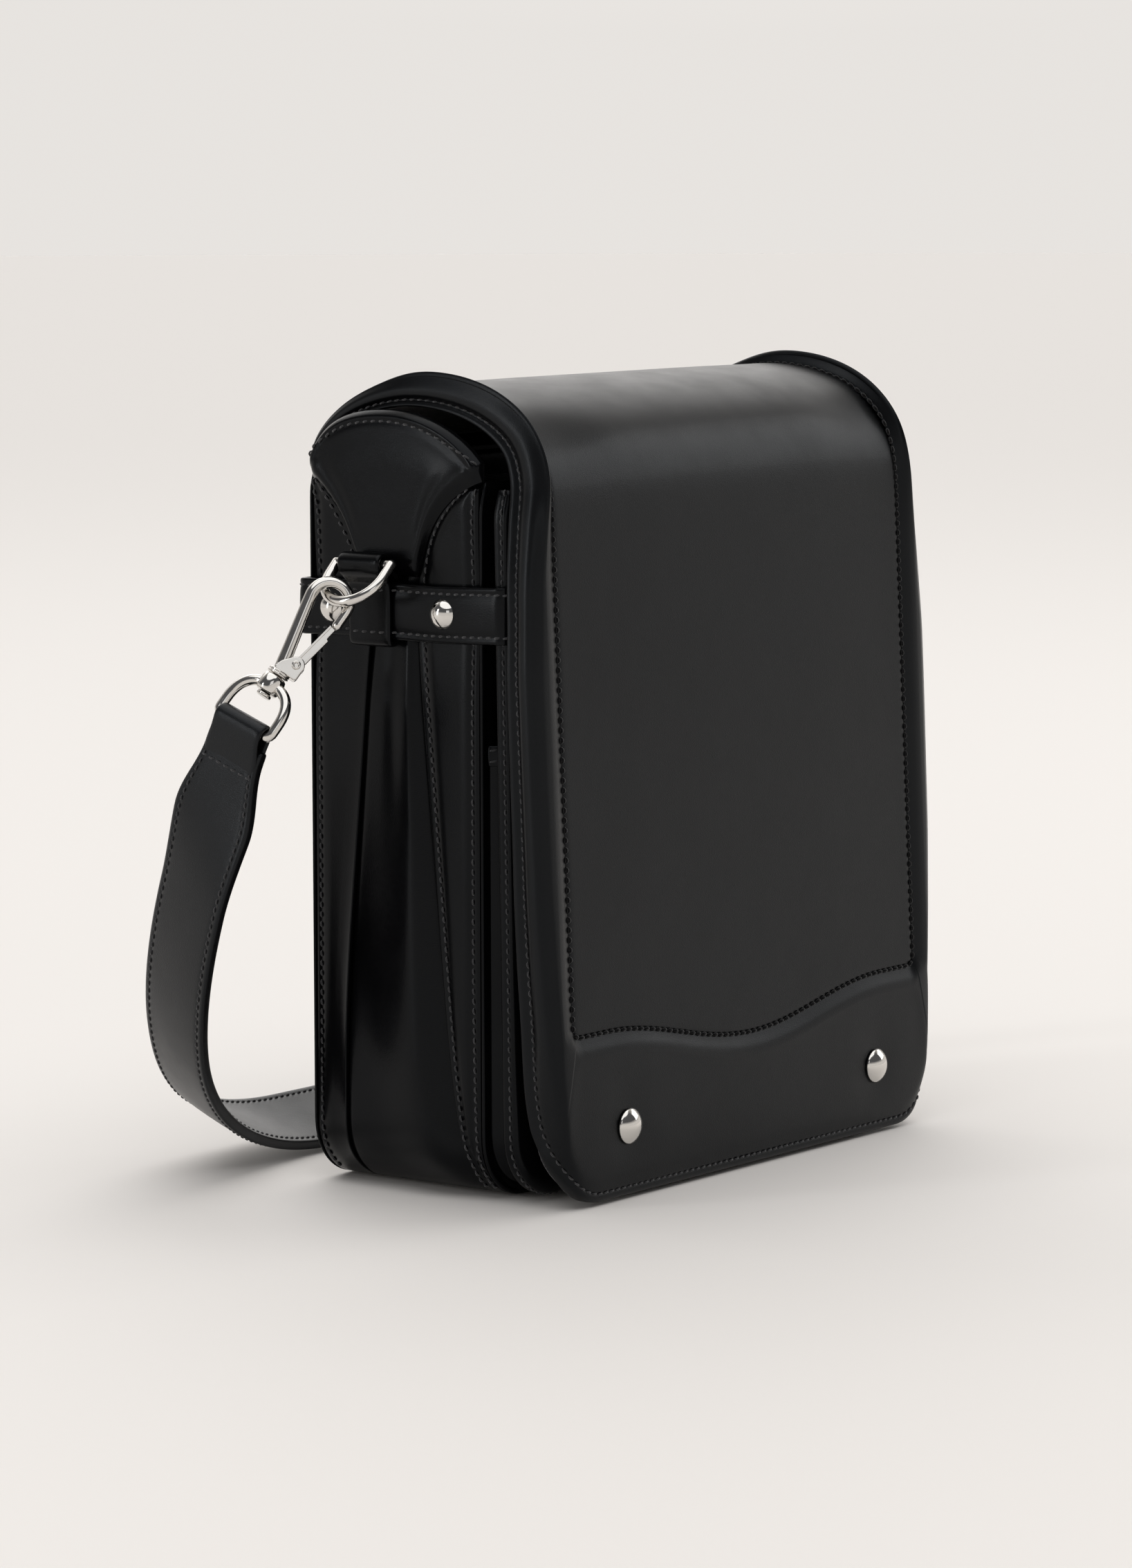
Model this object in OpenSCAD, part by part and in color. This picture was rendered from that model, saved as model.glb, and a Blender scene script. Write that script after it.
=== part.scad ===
// Upright leather shoulder bag: a moulded flap over a boxed body, a waist belt with ring tabs,
// and a shoulder strap on two trigger hooks.
// Origin: centre of the base on the floor. +X to the wearer's right of the front, -Y the front, +Z up.

/* [Body] */
// Width across the two side walls
body_w = 225; // [215:1:235]
// Face of the front panel of the main compartment
body_front = -37; // [-40:1:-35]
// Outer face of the back panel
body_back = 39; // [37:1:42]
// Top edge of the front and back panels
panel_top = 252; // [245:1:252]
// Highest point of the arched side walls
arch_top = 271.5; // [266:0.5:271.5]
// Radius of the bottom corners
corner_r = 22; // [18:1:26]
// Thickness of the body leather
leather = 2; // [1.6:0.1:2.2]

/* [Pocket] */
// Front face of the pocket at its mouth
pocket_face_top = -47.6; // [-48:0.1:-47]
// Front face of the pocket at the floor
pocket_face_base = -51.2; // [-52:0.1:-50]
// Height of the pocket's mouth
pocket_top = 246; // [230:1:246]
// Height of the pocket's side gussets
pocket_gusset_top = 157; // [120:1:180]

/* [Flap] */
// Greatest width of the flap
flap_w = 236; // [232:1:240]
// Highest point of the flap's side rolls
flap_top = 285; // [282:1:288]
// Half width of the sunk centre panel
panel_half = 104.5; // [100:0.5:106]
// Height of the centre panel's bottom corners
seam_z = 59; // [50:1:70]
// Depth of the dip in the middle of the bottom seam
seam_dip = 11; // [0:1:16]
// Distance of each snap from the middle
snap_x = 76; // [60:1:84]
// Height of the snaps
snap_z = 25.4; // [24:0.2:30]
// Diameter of a snap cap
snap_d = 12.5; // [10:0.5:14]

/* [Belt] */
// Underside of the waist belt
belt_z = 193; // [185:1:195]
// Height of the waist belt
belt_h = 19.5; // [16:0.5:20]
// Diameter of a domed rivet
rivet_d = 9.2; // [8:0.2:10]

/* [Rings] */
// Wire diameter of a D-ring
dring_wire = 3.8; // [3:0.1:4]
// Centre of the D-ring's bar from the middle of the bag
dring_x = 122; // [121:0.5:124]
// Height of the D-ring's bar
dring_z = 219; // [217:0.5:221]
// Middle of the D-ring, front to back
dring_y = 7; // [3:1:9]
// Radius of the D-ring's bow, to the middle of its wire
dring_r = 11.75; // [11.25:0.25:12]
// Outward lean of the D-ring from straight down
dring_lean = 46; // [40:1:50]

/* [Strap] */
// Width of the shoulder strap
strap_w = 35; // [30:1:38]
// Thickness of the two layers together
strap_t = 4; // [3:0.2:4]
// Backward lean of the strap from straight down, as it lies behind the bag
strap_lean = 20.5; // [18:0.5:22]
// Outward lean of the hooks
hook_lean = 32.5; // [30:0.5:36]
// Turn of a hook on its swivel
hook_turn = -58; // [-60:1:-50]

/* [Hidden] */
$fn = 48;
eps = 0.01;
curve_steps = 12;
gap = 0.1;

panel_y0 = body_back - leather;
inner_front = body_front + leather;
inner_w = body_w - 2 * leather;
side_x = body_w / 2;
board_t = 1.8;
lining_t = 0.8;
lining_w = inner_w - 0.4;
lining_front = inner_front + board_t + gap;
lining_back = panel_y0 - board_t - gap;
base_z = leather + board_t + 0.4;

pocket_flange = 6.5;
pocket_w = body_w - 1;
pocket_leather = 2.2;

hinge_y = 40;
hinge_z = 254.2;
flap_start = 256.4;
flap_floor = 1;
flap_leather = 2;
flap_corner = 20;

belt_t = 2.4;
belt_x = side_x + 2.4;
belt_mid = belt_z + belt_h / 2;
belt_front = pocket_face_top - 1;
belt_front_t = 1.6;
belt_back = body_back + 0.3;
rivet_ys = [-23.3, 25.2];
post_r = 1.5;
hole_r = 1.6;

tab_w = 18;
tab_t = 2;

eye_angle = 25;
dring_straight = 5.6;
eye_reach = dring_straight + dring_r * cos(eye_angle);
eye_x = -dring_x - eye_reach * sin(dring_lean);
eye_y = dring_y + dring_r * sin(eye_angle);
eye_z = dring_z - eye_reach * cos(dring_lean);

hook_wire = 3.6;
hook_r = 6.8;
hook_centre = [0.3, -1.2];
hook_arm_angle = 194.5;
hook_arm_foot = [-0.4, -29.6];
overlap = 0.6;
step = 0.08;
nose_z = -7;
pin_at = [3.4, -26.2];
pin_r = 1.05;
ear_r = 3;
ear_half = 2.7;
slot_half = 1.45;
gate_half = 1.3;
collar_z = -32.6;
post_radius = 1.9;
barrel_top = -33;
barrel_h = 6.6;
barrel_r = 3.4;

ring_wire = 3.4;
ring_r = 12;
bar_z = -53;
ring_straight = -bar_z + barrel_top - barrel_h / 2 - ring_r;
loop_w = 20;
loop_r = 4;
neck_w = 27;
strap_layer = strap_t / 2;
bar_x = eye_x + bar_z * sin(hook_lean);
bar_down = -bar_z * cos(hook_lean);
strap_reach = (eye_z - strap_w / 2 * sin(strap_lean)) / cos(strap_lean);

// ---- curves -------------------------------------------------------------

function bezier(p, t) =
    pow(1 - t, 3) * p[0] + 3 * t * pow(1 - t, 2) * p[1] + 3 * t * t * (1 - t) * p[2] + pow(t, 3) * p[3];
function curve(p, n = curve_steps) = [for (i = [0:n]) bezier(p, i / n)];
function reversed(list) = [for (i = [len(list) - 1:-1:0]) list[i]];
function tail(list) = [for (i = [1:len(list) - 1]) list[i]];
function unit(v) = v / norm(v);
function along(path, i) = unit(path[min(i + 1, len(path) - 1)] - path[max(i - 1, 0)]);
// A path moved sideways by d, to the right of its direction
function shifted(path, d) = [for (i = [0:len(path) - 1]) path[i] + d * [along(path, i).y, -along(path, i).x]];

// ---- extrusions ---------------------------------------------------------

// An outline in X and Z, from y0 to y1
module across_y(y0, y1) {
    translate([0, y1, 0]) rotate([90, 0, 0]) linear_extrude(y1 - y0) children();
}

// An outline in Y and Z, from x0 to x1
module across_x(x0, x1) {
    translate([x0, 0, 0]) rotate([90, 0, 90]) linear_extrude(x1 - x0) children();
}

module both_sides() {
    children();
    mirror([1, 0, 0]) children();
}

module right_side() {
    mirror([1, 0, 0]) children();
}

// A rectangle standing on Z = 0 with round bottom corners
module round_bottom(w, h, r) {
    translate([-w / 2, r]) square([w, h - r]);
    translate([r - w / 2, 0]) square([w - 2 * r, h - r]);
    for (side = [-1, 1]) {
        translate([side * (w / 2 - r), r]) circle(r);
    }
}

// A strip that runs down one side, under the base and up the other side
module u_strip(w, h, r, t) {
    difference() {
        round_bottom(w, h, r);
        translate([0, t]) round_bottom(w - 2 * t, h, r - t);
    }
}

module round_box(x, y0, y1, r) {
    translate([-x, y0 + r]) square([2 * x, y1 - y0 - 2 * r]);
    translate([r - x, y0]) square([2 * x - 2 * r, y1 - y0]);
    for (cx = [r - x, x - r], cy = [y0 + r, y1 - r]) {
        translate([cx, cy]) circle(r);
    }
}

module leather_black() {
    color([0.035, 0.035, 0.04]) children();
}

module nickel() {
    color([0.80, 0.79, 0.77]) children();
}

module lining_black() {
    color([0.07, 0.07, 0.075]) children();
}

module board_grey() {
    color([0.45, 0.43, 0.40]) children();
}

// ---- side wall outlines -------------------------------------------------

arch = concat(
    curve([[body_front, 254], [-28, 265], [-12, arch_top], [4, arch_top]]),
    tail(curve([[4, arch_top], [16, arch_top], [28, arch_top - 3.5], [panel_y0, 250]])));
front_seam = concat(
    curve([[-31, 12], [-22, 36], [-20, 90], [-9.5, 200]]),
    tail(curve([[-9.5, 200], [-9.5, 232], [-22, 242], [body_front, 248]])));
back_seam = concat(
    curve([[24, 12], [25, 70], [17, 130], [12.5, 200]]),
    tail(curve([[12.5, 200], [14, 228], [28, 240], [body_back, 249]])));

module side_wall() {
    polygon(concat([[panel_y0, 0], [inner_front, 0]],
        [for (p = arch) [min(max(p.x, inner_front), panel_y0), p.y]]));
}

module between_seams() {
    polygon(concat([[-31, -1]], front_seam, [[body_front, 280], [body_back, 280]],
        reversed(back_seam), [[24, -1]]));
}

module before_front_seam() {
    polygon(concat([[-31, -1]], front_seam, [[body_front - 5, 248], [body_front - 5, -1]]));
}

module behind_back_seam() {
    polygon(concat([[24, -1]], back_seam, [[body_back + 5, 249], [body_back + 5, -1]]));
}

module rivet_holes() {
    for (y = rivet_ys) {
        translate([0, y, belt_mid]) rotate([0, 90, 0]) cylinder(h = 300, r = hole_r, center = true);
    }
}

module gusset_strip() {
    difference() {
        intersection() {
            across_y(inner_front, panel_y0) u_strip(body_w, 290, corner_r, leather);
            across_x(-150, 150) side_wall();
            across_x(-150, 150) children();
        }
        rivet_holes();
    }
}

// ---- body ---------------------------------------------------------------

module back_panel() {
    leather_black() across_y(panel_y0, body_back) round_bottom(body_w, panel_top, corner_r);
}

module front_panel() {
    leather_black() across_y(body_front, inner_front) round_bottom(body_w, panel_top - 4, corner_r);
}

module board(y0, h) {
    board_grey() across_y(y0, y0 + board_t) translate([0, base_z]) round_bottom(lining_w - 4, h, corner_r);
}

module back_board() {
    board(panel_y0 - board_t, panel_top - base_z - 4);
}

module front_board() {
    board(inner_front, panel_top - base_z - 10);
}

module base_board() {
    board_grey() translate([-86, lining_front, leather + gap])
        cube([172, lining_back - lining_front, board_t]);
}

module back_gusset() {
    leather_black() gusset_strip() behind_back_seam();
}

module centre_gusset() {
    leather_black() gusset_strip() between_seams();
}

module front_gusset() {
    leather_black() gusset_strip() before_front_seam();
}

yoke_foot = belt_z + belt_h + 5;
yoke_rise = 3;
yoke_middle = [1, 245];
pad_scale = 0.82;

module yoke_outline() {
    intersection() {
        between_seams();
        side_wall();
        translate([-60, yoke_foot]) square([120, 60]);
    }
}

module pad_outline() {
    translate(yoke_middle) scale(pad_scale) translate(-yoke_middle) yoke_outline();
}

module left_yoke() {
    leather_black() difference() {
        across_x(-side_x - yoke_rise, -side_x) yoke_outline();
        across_x(-side_x - yoke_rise / 2, -side_x + 1) pad_outline();
    }
}

module left_yoke_pad() {
    board_grey() across_x(-side_x - yoke_rise / 2, -side_x) pad_outline();
}

module body_lining() {
    lining_black() difference() {
        across_y(lining_front, lining_back) translate([0, base_z])
            round_bottom(lining_w, panel_top - 10 - base_z, corner_r - leather);
        across_y(lining_front + lining_t, lining_back - lining_t) translate([0, base_z + lining_t])
            round_bottom(lining_w - 2 * lining_t, panel_top, corner_r - leather - lining_t);
        rivet_holes();
    }
}

module waist_belt() {
    leather_black() difference() {
        translate([0, 0, belt_z]) linear_extrude(belt_h) difference() {
            round_box(belt_x + belt_t, belt_front - belt_front_t, belt_back + belt_t, 3.5);
            round_box(belt_x, belt_front, belt_back, 1.5);
        }
        rivet_holes();
    }
}

module belt_rivets() {
    nickel() both_sides() for (y = rivet_ys) {
        translate([-belt_x - belt_t, y, belt_mid]) rotate([0, -90, 0]) {
            intersection() {
                translate([0, 0, -3]) sphere(r = 5.9);
                cylinder(h = 4, r = rivet_d / 2);
            }
            translate([0, 0, -9.2]) cylinder(h = 9.2 + eps, r = post_r);
        }
    }
}

module rivet_burrs() {
    nickel() both_sides() for (y = rivet_ys) {
        translate([-lining_w / 2 + lining_t, y, belt_mid]) rotate([0, 90, 0]) difference() {
            cylinder(h = 1, r = 4);
            translate([0, 0, -1]) cylinder(h = 3, r = hole_r);
        }
    }
}

module left_ring_tab() {
    outer_x = belt_x + belt_t + 0.2 + tab_t;
    inner_x = side_x + 0.2;
    leather_black() difference() {
        across_y(dring_y - tab_w / 2, dring_y + tab_w / 2) difference() {
            union() {
                translate([-dring_x, dring_z]) circle(dring_wire / 2 + gap + tab_t);
                translate([-outer_x, belt_z - tab_t - 0.3]) square([tab_t, dring_z - belt_z]);
                translate([-outer_x, belt_z - tab_t - 0.3]) square([outer_x - inner_x, tab_t]);
                translate([-inner_x - tab_t, belt_z - tab_t - 0.3])
                    square([tab_t, belt_h + 2 * tab_t + 0.6]);
                translate([-dring_x, belt_z + belt_h + 0.3]) square([dring_x - inner_x, tab_t]);
            }
            translate([-dring_x, dring_z]) circle(dring_wire / 2 + gap);
        }
    }
}

// ---- front pocket -------------------------------------------------------

function pocket_face(z) = pocket_face_base + (pocket_face_top - pocket_face_base) * z / pocket_top;

module pocket_depth(from, to) {
    polygon([
        [pocket_face(0) + from, 0],
        [pocket_face(pocket_top) + from, pocket_top],
        [pocket_face(pocket_top) + to, pocket_top],
        [pocket_face(0) + to, 0]
    ]);
}

module snap_bore() {
    both_sides() translate([snap_x, 0, snap_z]) rotate([90, 0, 0]) cylinder(h = 90, r = hole_r);
}

module pocket_panel() {
    leather_black() difference() {
        intersection() {
            across_y(-60, body_front - gap) translate([0, 1.5]) round_bottom(pocket_w, 290, corner_r);
            across_x(-150, 150) pocket_depth(0, pocket_flange);
        }
        intersection() {
            across_y(-60, body_front) translate([0, 1.5 + leather])
                round_bottom(pocket_w - 2 * leather, 290, corner_r - leather);
            across_x(-150, 150) pocket_depth(pocket_leather, pocket_flange + 5);
        }
        snap_bore();
    }
}

module pocket_gusset() {
    leather_black() intersection() {
        across_y(-60, body_front) translate([0, 1.5 + leather + gap])
            u_strip(pocket_w - 2 * leather - 2 * gap, 290, corner_r - leather, leather);
        across_x(-150, 150) difference() {
            pocket_depth(pocket_leather, 30);
            translate([-60, pocket_gusset_top]) square([90, 200]);
            translate([body_front, -1]) square([60, 300]);
        }
    }
}

hem_h = 6;

module pocket_hems() {
    face = pocket_face(pocket_gusset_top);
    leather_black() both_sides() {
        translate([-pocket_w / 2 + leather + gap, face + pocket_flange + 0.2, pocket_gusset_top - hem_h])
            translate([-1.6, 0, 0]) cube([1.6, body_front - face - pocket_flange - 0.4, hem_h]);
    }
}

module snap_studs() {
    nickel() both_sides() translate([snap_x, pocket_face(snap_z) - gap, snap_z]) rotate([90, 0, 0]) {
        cylinder(h = 0.8, r = 5.4);
        cylinder(h = 2.8, r = 2.5);
        translate([0, 0, 1.7]) cylinder(h = 0.8, r = 2.8);
        translate([0, 0, -pocket_leather - 0.9]) cylinder(h = 3.4, r = post_r);
    }
}

module stud_backs() {
    nickel() both_sides() {
        translate([snap_x, pocket_face(snap_z) + pocket_leather + 0.2, snap_z]) rotate([-90, 0, 0])
            difference() {
                cylinder(h = 1, r = 4.5);
                translate([0, 0, -1]) cylinder(h = 3, r = hole_r);
            }
    }
}

module flap_anchor() {
    leather_black() across_y(body_back, body_back + leather) translate([-104, 228])
        square([208, panel_top - 228]);
}

// ---- flap ---------------------------------------------------------------

// Side view of each layer: up the back, over the top and down the front
function layer(y0, top, lift, side_y, front_y, base_y, top_y) = concat(
    curve([[y0, flap_start], [y0 - 3, flap_start + lift], [18, top], [top_y, top]]),
    tail(curve([[top_y, top], [top_y - 24, top], [side_y, 266 + (top - 273) * 0.7], [front_y, 247]])),
    [[base_y, flap_floor]]);

lining_face = layer(39, 273, 7, -47, -50.3, -55.5, -2);
lining_rear = layer(40, 274.2, 8, -48.2, -51.5, -56.7, -2);
panel_rear = layer(40.1, 275.2, 8.5, -55.2, -58.4, -70, -6);
panel_face = layer(41, 277, 9.5, -57.2, -60.3, -71.8, -6);
border_rear = layer(40.1, flap_top - flap_leather, 8.6, -58, -61.5, -72.5, -10);
border_face = layer(41, flap_top, 9.2, -60, -63.5, -74.5, -10);

module flap_layer(inner, outer) {
    across_x(-150, 150) polygon(concat(outer, reversed(inner)));
}

module inside_layer(outer) {
    across_x(-150, 150) polygon(concat(outer, [[0, -5], [30, 200], [35, flap_start - 1]]));
}

// Half width of the flap at height z: fullest at mid height
flap_full_z = 165;
flap_taper = 6;
function flap_half(z) = flap_w / 2 - flap_taper * pow((z - flap_full_z) / flap_full_z, 2);

module flap_outline(inset) {
    r = flap_corner - inset;
    foot = flap_floor + inset;
    corner_x = flap_half(foot + r) - inset - r;
    right_edge = concat(
        [for (a = [-90:15:0]) [corner_x + r * cos(a), foot + r + r * sin(a)]],
        [for (z = [foot + r + 20:20:320]) [flap_half(z) - inset, z]]);
    across_y(-90, 60) polygon(concat(right_edge, [for (p = reversed(right_edge)) [-p.x, p.y]]));
}

// The opening in the border that shows the centre panel
function seam_height(x) = seam_z - seam_dip * pow(cos(90 * min(abs(x) / 84, 1)), 2);

module panel_window() {
    across_y(-90, 60) polygon(concat(
        [for (x = [-panel_half:9.5:panel_half]) [x, seam_height(x)]],
        [[panel_half, 300], [-panel_half, 300]]));
}

module flap_border() {
    leather_black() difference() {
        intersection() {
            flap_layer(lining_face, border_face);
            flap_outline(0);
        }
        intersection() {
            inside_layer(border_rear);
            flap_outline(flap_leather);
        }
        panel_window();
        snap_bore();
    }
}

module flap_centre_panel() {
    leather_black() intersection() {
        flap_layer(panel_rear, panel_face);
        panel_window();
    }
}

module flap_padding() {
    board_grey() difference() {
        union() {
            difference() {
                intersection() {
                    flap_layer(lining_rear, border_rear);
                    flap_outline(flap_leather);
                }
                panel_window();
            }
            intersection() {
                flap_layer(lining_rear, panel_rear);
                panel_window();
            }
        }
        snap_bore();
    }
}

module flap_lining() {
    lining_black() difference() {
        intersection() {
            flap_layer(lining_face, lining_rear);
            flap_outline(flap_leather);
        }
        snap_bore();
    }
}

cap_y = -73.75;
socket_y = -54.8;

module snap_caps() {
    nickel() both_sides() translate([snap_x, cap_y - gap, snap_z]) rotate([90, 0, 0]) {
        intersection() {
            translate([0, 0, -5.1]) sphere(r = 8.1);
            cylinder(h = 5, r = snap_d / 2);
        }
        translate([0, 0, -17]) cylinder(h = 17 + eps, r = post_r);
    }
}

module snap_sockets() {
    nickel() both_sides() translate([snap_x, socket_y + gap, snap_z]) rotate([-90, 0, 0]) difference() {
        cylinder(h = 2.5, r = 6);
        translate([0, 0, -1]) cylinder(h = 5, r = 3.4);
    }
}

// ---- rings and hooks, made for the left side ----------------------------

// A round bar between two points of the local XZ plane
module rod(a, b, r) {
    d = b - a;
    translate([a.x, 0, a.y]) rotate([0, atan2(d.x, d.y), 0]) cylinder(h = norm(d), r = r);
}

// A half ring in the local YZ plane that hangs from two straight sides below a bar
module wire_d(radius, straight, r) {
    rotate([90, 0, 0]) cylinder(h = 2 * radius, r = r, center = true);
    for (side = [-1, 1]) {
        translate([0, side * radius, 0]) sphere(r = r);
        translate([0, side * radius, -straight]) cylinder(h = straight, r = r);
    }
    translate([0, 0, -straight]) rotate([-90, 0, 90]) rotate_extrude(angle = 180)
        translate([radius, 0]) circle(r);
}

module left_d_ring() {
    nickel() translate([-dring_x, dring_y, dring_z]) rotate([0, dring_lean, 0])
        wire_d(dring_r, dring_straight, dring_wire / 2);
}

// The frame in which the strap's plane is local XZ, at the eye of the left hook
module strap_plane() {
    translate([0, eye_y, eye_z]) rotate([strap_lean, 0, 0]) children();
}

module on_swivel_line() {
    strap_plane() translate([eye_x, 0, 0]) rotate([0, hook_lean, 0]) children();
}

module as_hook() {
    on_swivel_line() rotate([0, 0, hook_turn]) children();
}

arm_top = hook_centre + hook_r * [cos(hook_arm_angle), sin(hook_arm_angle)];
nose_x = hook_centre.x + hook_r;

module left_hook() {
    r = hook_wire / 2;
    nickel() as_hook() difference() {
        union() {
            translate([hook_centre.x, 0, hook_centre.y]) rotate([90, 0, 0])
                rotate_extrude(angle = hook_arm_angle) translate([hook_r, 0]) circle(r);
            rod(arm_top + overlap * unit(arm_top - hook_arm_foot), hook_arm_foot, r - step);
            rod([nose_x, hook_centre.y + overlap], [nose_x, nose_z], r - step);
            translate([pin_at.x, 0, pin_at.y]) rotate([90, 0, 0])
                cylinder(h = 2 * ear_half, r = ear_r, center = true);
            translate([-2.2, -ear_half, -31]) cube([pin_at.x + ear_r + 2.2, 2 * ear_half, 4.8]);
            translate([0, 0, collar_z]) cylinder(h = 1.7, r = barrel_r);
        }
        translate([1, -slot_half, -29.4]) cube([9, 2 * slot_half, 12]);
        translate([pin_at.x, 0, pin_at.y]) rotate([90, 0, 0])
            cylinder(h = 12, r = pin_r + 0.05, center = true);
    }
}

gate_root = 1.9;
gate_tip = [nose_x - 0.4, nose_z - 0.5];

module left_gate() {
    lean = atan2(gate_tip.x - pin_at.x, gate_tip.y - pin_at.y);
    reach = norm(gate_tip - pin_at);
    nickel() as_hook() difference() {
        union() {
            translate([pin_at.x, 0, pin_at.y]) rotate([90, 0, 0])
                cylinder(h = 2 * gate_half, r = gate_root, center = true);
            translate([pin_at.x, 0, pin_at.y]) rotate([0, lean, 0]) {
                translate([-1.4, -gate_half, 0]) cube([3.3, 2 * gate_half, reach - 0.8]);
            }
        }
        translate([pin_at.x, 0, pin_at.y]) rotate([90, 0, 0])
            cylinder(h = 12, r = pin_r + 0.05, center = true);
        translate([pin_at.x, 0, pin_at.y]) cube([5, 1.2, 5], center = true);
    }
}

module left_gate_pin() {
    nickel() as_hook() translate([pin_at.x, 0, pin_at.y]) rotate([90, 0, 0]) {
        cylinder(h = 2 * ear_half + 0.6, r = pin_r, center = true);
        for (end = [-1, 1]) {
            translate([0, 0, end * (ear_half + 0.4)]) cylinder(h = 0.6, r = 1.6, center = true);
        }
    }
}

module left_gate_spring() {
    nickel() as_hook() translate([pin_at.x, 0, pin_at.y]) rotate([90, 0, 0]) difference() {
        cylinder(h = 1, r = 1.7, center = true);
        cylinder(h = 3, r = pin_r + 0.1, center = true);
    }
}

module left_swivel_post() {
    nickel() on_swivel_line() {
        translate([0, 0, barrel_top - barrel_h - 1.4]) cylinder(h = collar_z - barrel_top + barrel_h + 1.4,
            r = post_radius);
        translate([0, 0, barrel_top - barrel_h - 1.6]) cylinder(h = 1.4, r = 2.7);
    }
}

module left_strap_ring() {
    nickel() on_swivel_line() difference() {
        union() {
            translate([0, 0, bar_z]) mirror([0, 0, 1]) wire_d(ring_r, ring_straight, ring_wire / 2);
            translate([0, 0, barrel_top - barrel_h]) cylinder(h = barrel_h, r = barrel_r);
        }
        translate([0, 0, barrel_top - barrel_h - 5]) cylinder(h = barrel_h + 10, r = post_radius + 0.05);
    }
}

// ---- strap --------------------------------------------------------------

// Outer face of the left half: down from the hook's ring, round the corner and along the floor
strap_face = concat(
    curve([
        [bar_x - 1.8, -bar_down - 5.3],
        [bar_x - 9.8, -bar_down - 85],
        [bar_x - 0.8, -strap_reach],
        [-60, -strap_reach]
    ], 20),
    [[0, -strap_reach]]);
shoulder = strap_face[3].y;

module strap_layer_outline(near, far, first) {
    path = [for (i = [first:len(strap_face) - 1]) strap_face[i]];
    polygon(concat(shifted(path, -near), reversed(shifted(path, -far))));
}

module strap_sheet(near, far, first = 0) {
    difference() {
        rotate([90, 0, 0]) linear_extrude(strap_w, center = true) strap_layer_outline(near, far, first);
        for (edge = [-neck_w / 2 - 10, neck_w / 2]) {
            translate([bar_x - 30, edge, shoulder]) cube([60, 10, 60]);
        }
    }
}

module strap_loop() {
    near = shifted(strap_face, -0.2);
    far = shifted(strap_face, -strap_t);
    rotate([90, 0, 0]) linear_extrude(loop_w, center = true) difference() {
        union() {
            translate([bar_x, -bar_down]) circle(loop_r);
            polygon([
                [bar_x - loop_r + 0.3, -bar_down], near[0], near[1],
                far[1], far[0], [bar_x + loop_r - 0.6, -bar_down]
            ]);
        }
        translate([bar_x, -bar_down]) circle(ring_wire / 2 + gap);
    }
}

module strap_outer() {
    leather_black() both_sides() strap_plane() {
        strap_loop();
        strap_sheet(0, strap_layer);
    }
}

module strap_inner() {
    leather_black() both_sides() strap_plane() strap_sheet(strap_layer, strap_t, 1);
}

// ---- nodes --------------------------------------------------------------

back_panel();
back_board();
front_panel();
front_board();
base_board();
back_gusset();
centre_gusset();
front_gusset();
left_yoke();
right_side() left_yoke();  // right_yoke
left_yoke_pad();
right_side() left_yoke_pad();  // right_yoke_pad
body_lining();
waist_belt();
belt_rivets();
rivet_burrs();
left_ring_tab();
right_side() left_ring_tab();  // right_ring_tab
pocket_panel();
pocket_gusset();
pocket_hems();
snap_studs();
stud_backs();
flap_anchor();
flap_border();
flap_centre_panel();
flap_padding();
flap_lining();
snap_caps();
snap_sockets();
left_d_ring();
right_side() left_d_ring();  // right_d_ring
left_hook();
right_side() left_hook();  // right_hook
left_gate();
right_side() left_gate();  // right_gate
left_gate_pin();
right_side() left_gate_pin();  // right_gate_pin
left_gate_spring();
right_side() left_gate_spring();  // right_gate_spring
left_swivel_post();
right_side() left_swivel_post();  // right_swivel_post
left_strap_ring();
right_side() left_strap_ring();  // right_strap_ring
strap_outer();
strap_inner();
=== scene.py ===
# The looks of the upright leather shoulder bag. Lengths are in millimetres until they reach a mesh.
import math
import bmesh
import bpy
import numpy as np
from mathutils import Matrix, Vector


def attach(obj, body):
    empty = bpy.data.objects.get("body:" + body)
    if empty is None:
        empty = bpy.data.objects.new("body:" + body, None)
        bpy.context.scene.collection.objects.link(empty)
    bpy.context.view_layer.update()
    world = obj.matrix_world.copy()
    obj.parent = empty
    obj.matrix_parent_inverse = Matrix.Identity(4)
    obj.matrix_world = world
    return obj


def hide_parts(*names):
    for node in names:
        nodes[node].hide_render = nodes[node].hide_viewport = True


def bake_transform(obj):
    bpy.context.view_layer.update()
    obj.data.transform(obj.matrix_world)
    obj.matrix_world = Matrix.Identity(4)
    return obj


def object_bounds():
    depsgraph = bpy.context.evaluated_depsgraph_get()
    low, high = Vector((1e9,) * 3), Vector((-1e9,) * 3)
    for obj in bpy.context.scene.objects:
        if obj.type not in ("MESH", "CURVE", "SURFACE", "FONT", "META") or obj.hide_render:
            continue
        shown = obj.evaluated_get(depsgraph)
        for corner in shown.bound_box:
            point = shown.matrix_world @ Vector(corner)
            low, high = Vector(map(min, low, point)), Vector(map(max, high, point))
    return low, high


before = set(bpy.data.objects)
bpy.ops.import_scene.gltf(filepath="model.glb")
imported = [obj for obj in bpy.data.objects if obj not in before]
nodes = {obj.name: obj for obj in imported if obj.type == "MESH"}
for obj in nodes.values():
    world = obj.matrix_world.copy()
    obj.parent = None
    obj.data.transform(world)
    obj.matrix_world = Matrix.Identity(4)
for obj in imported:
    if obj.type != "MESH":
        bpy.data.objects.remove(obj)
cad_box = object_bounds()
MM = 0.001
SIDES = (("left", -1), ("right", 1))


# ---- camera, floor and light --------------------------------------------

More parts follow.
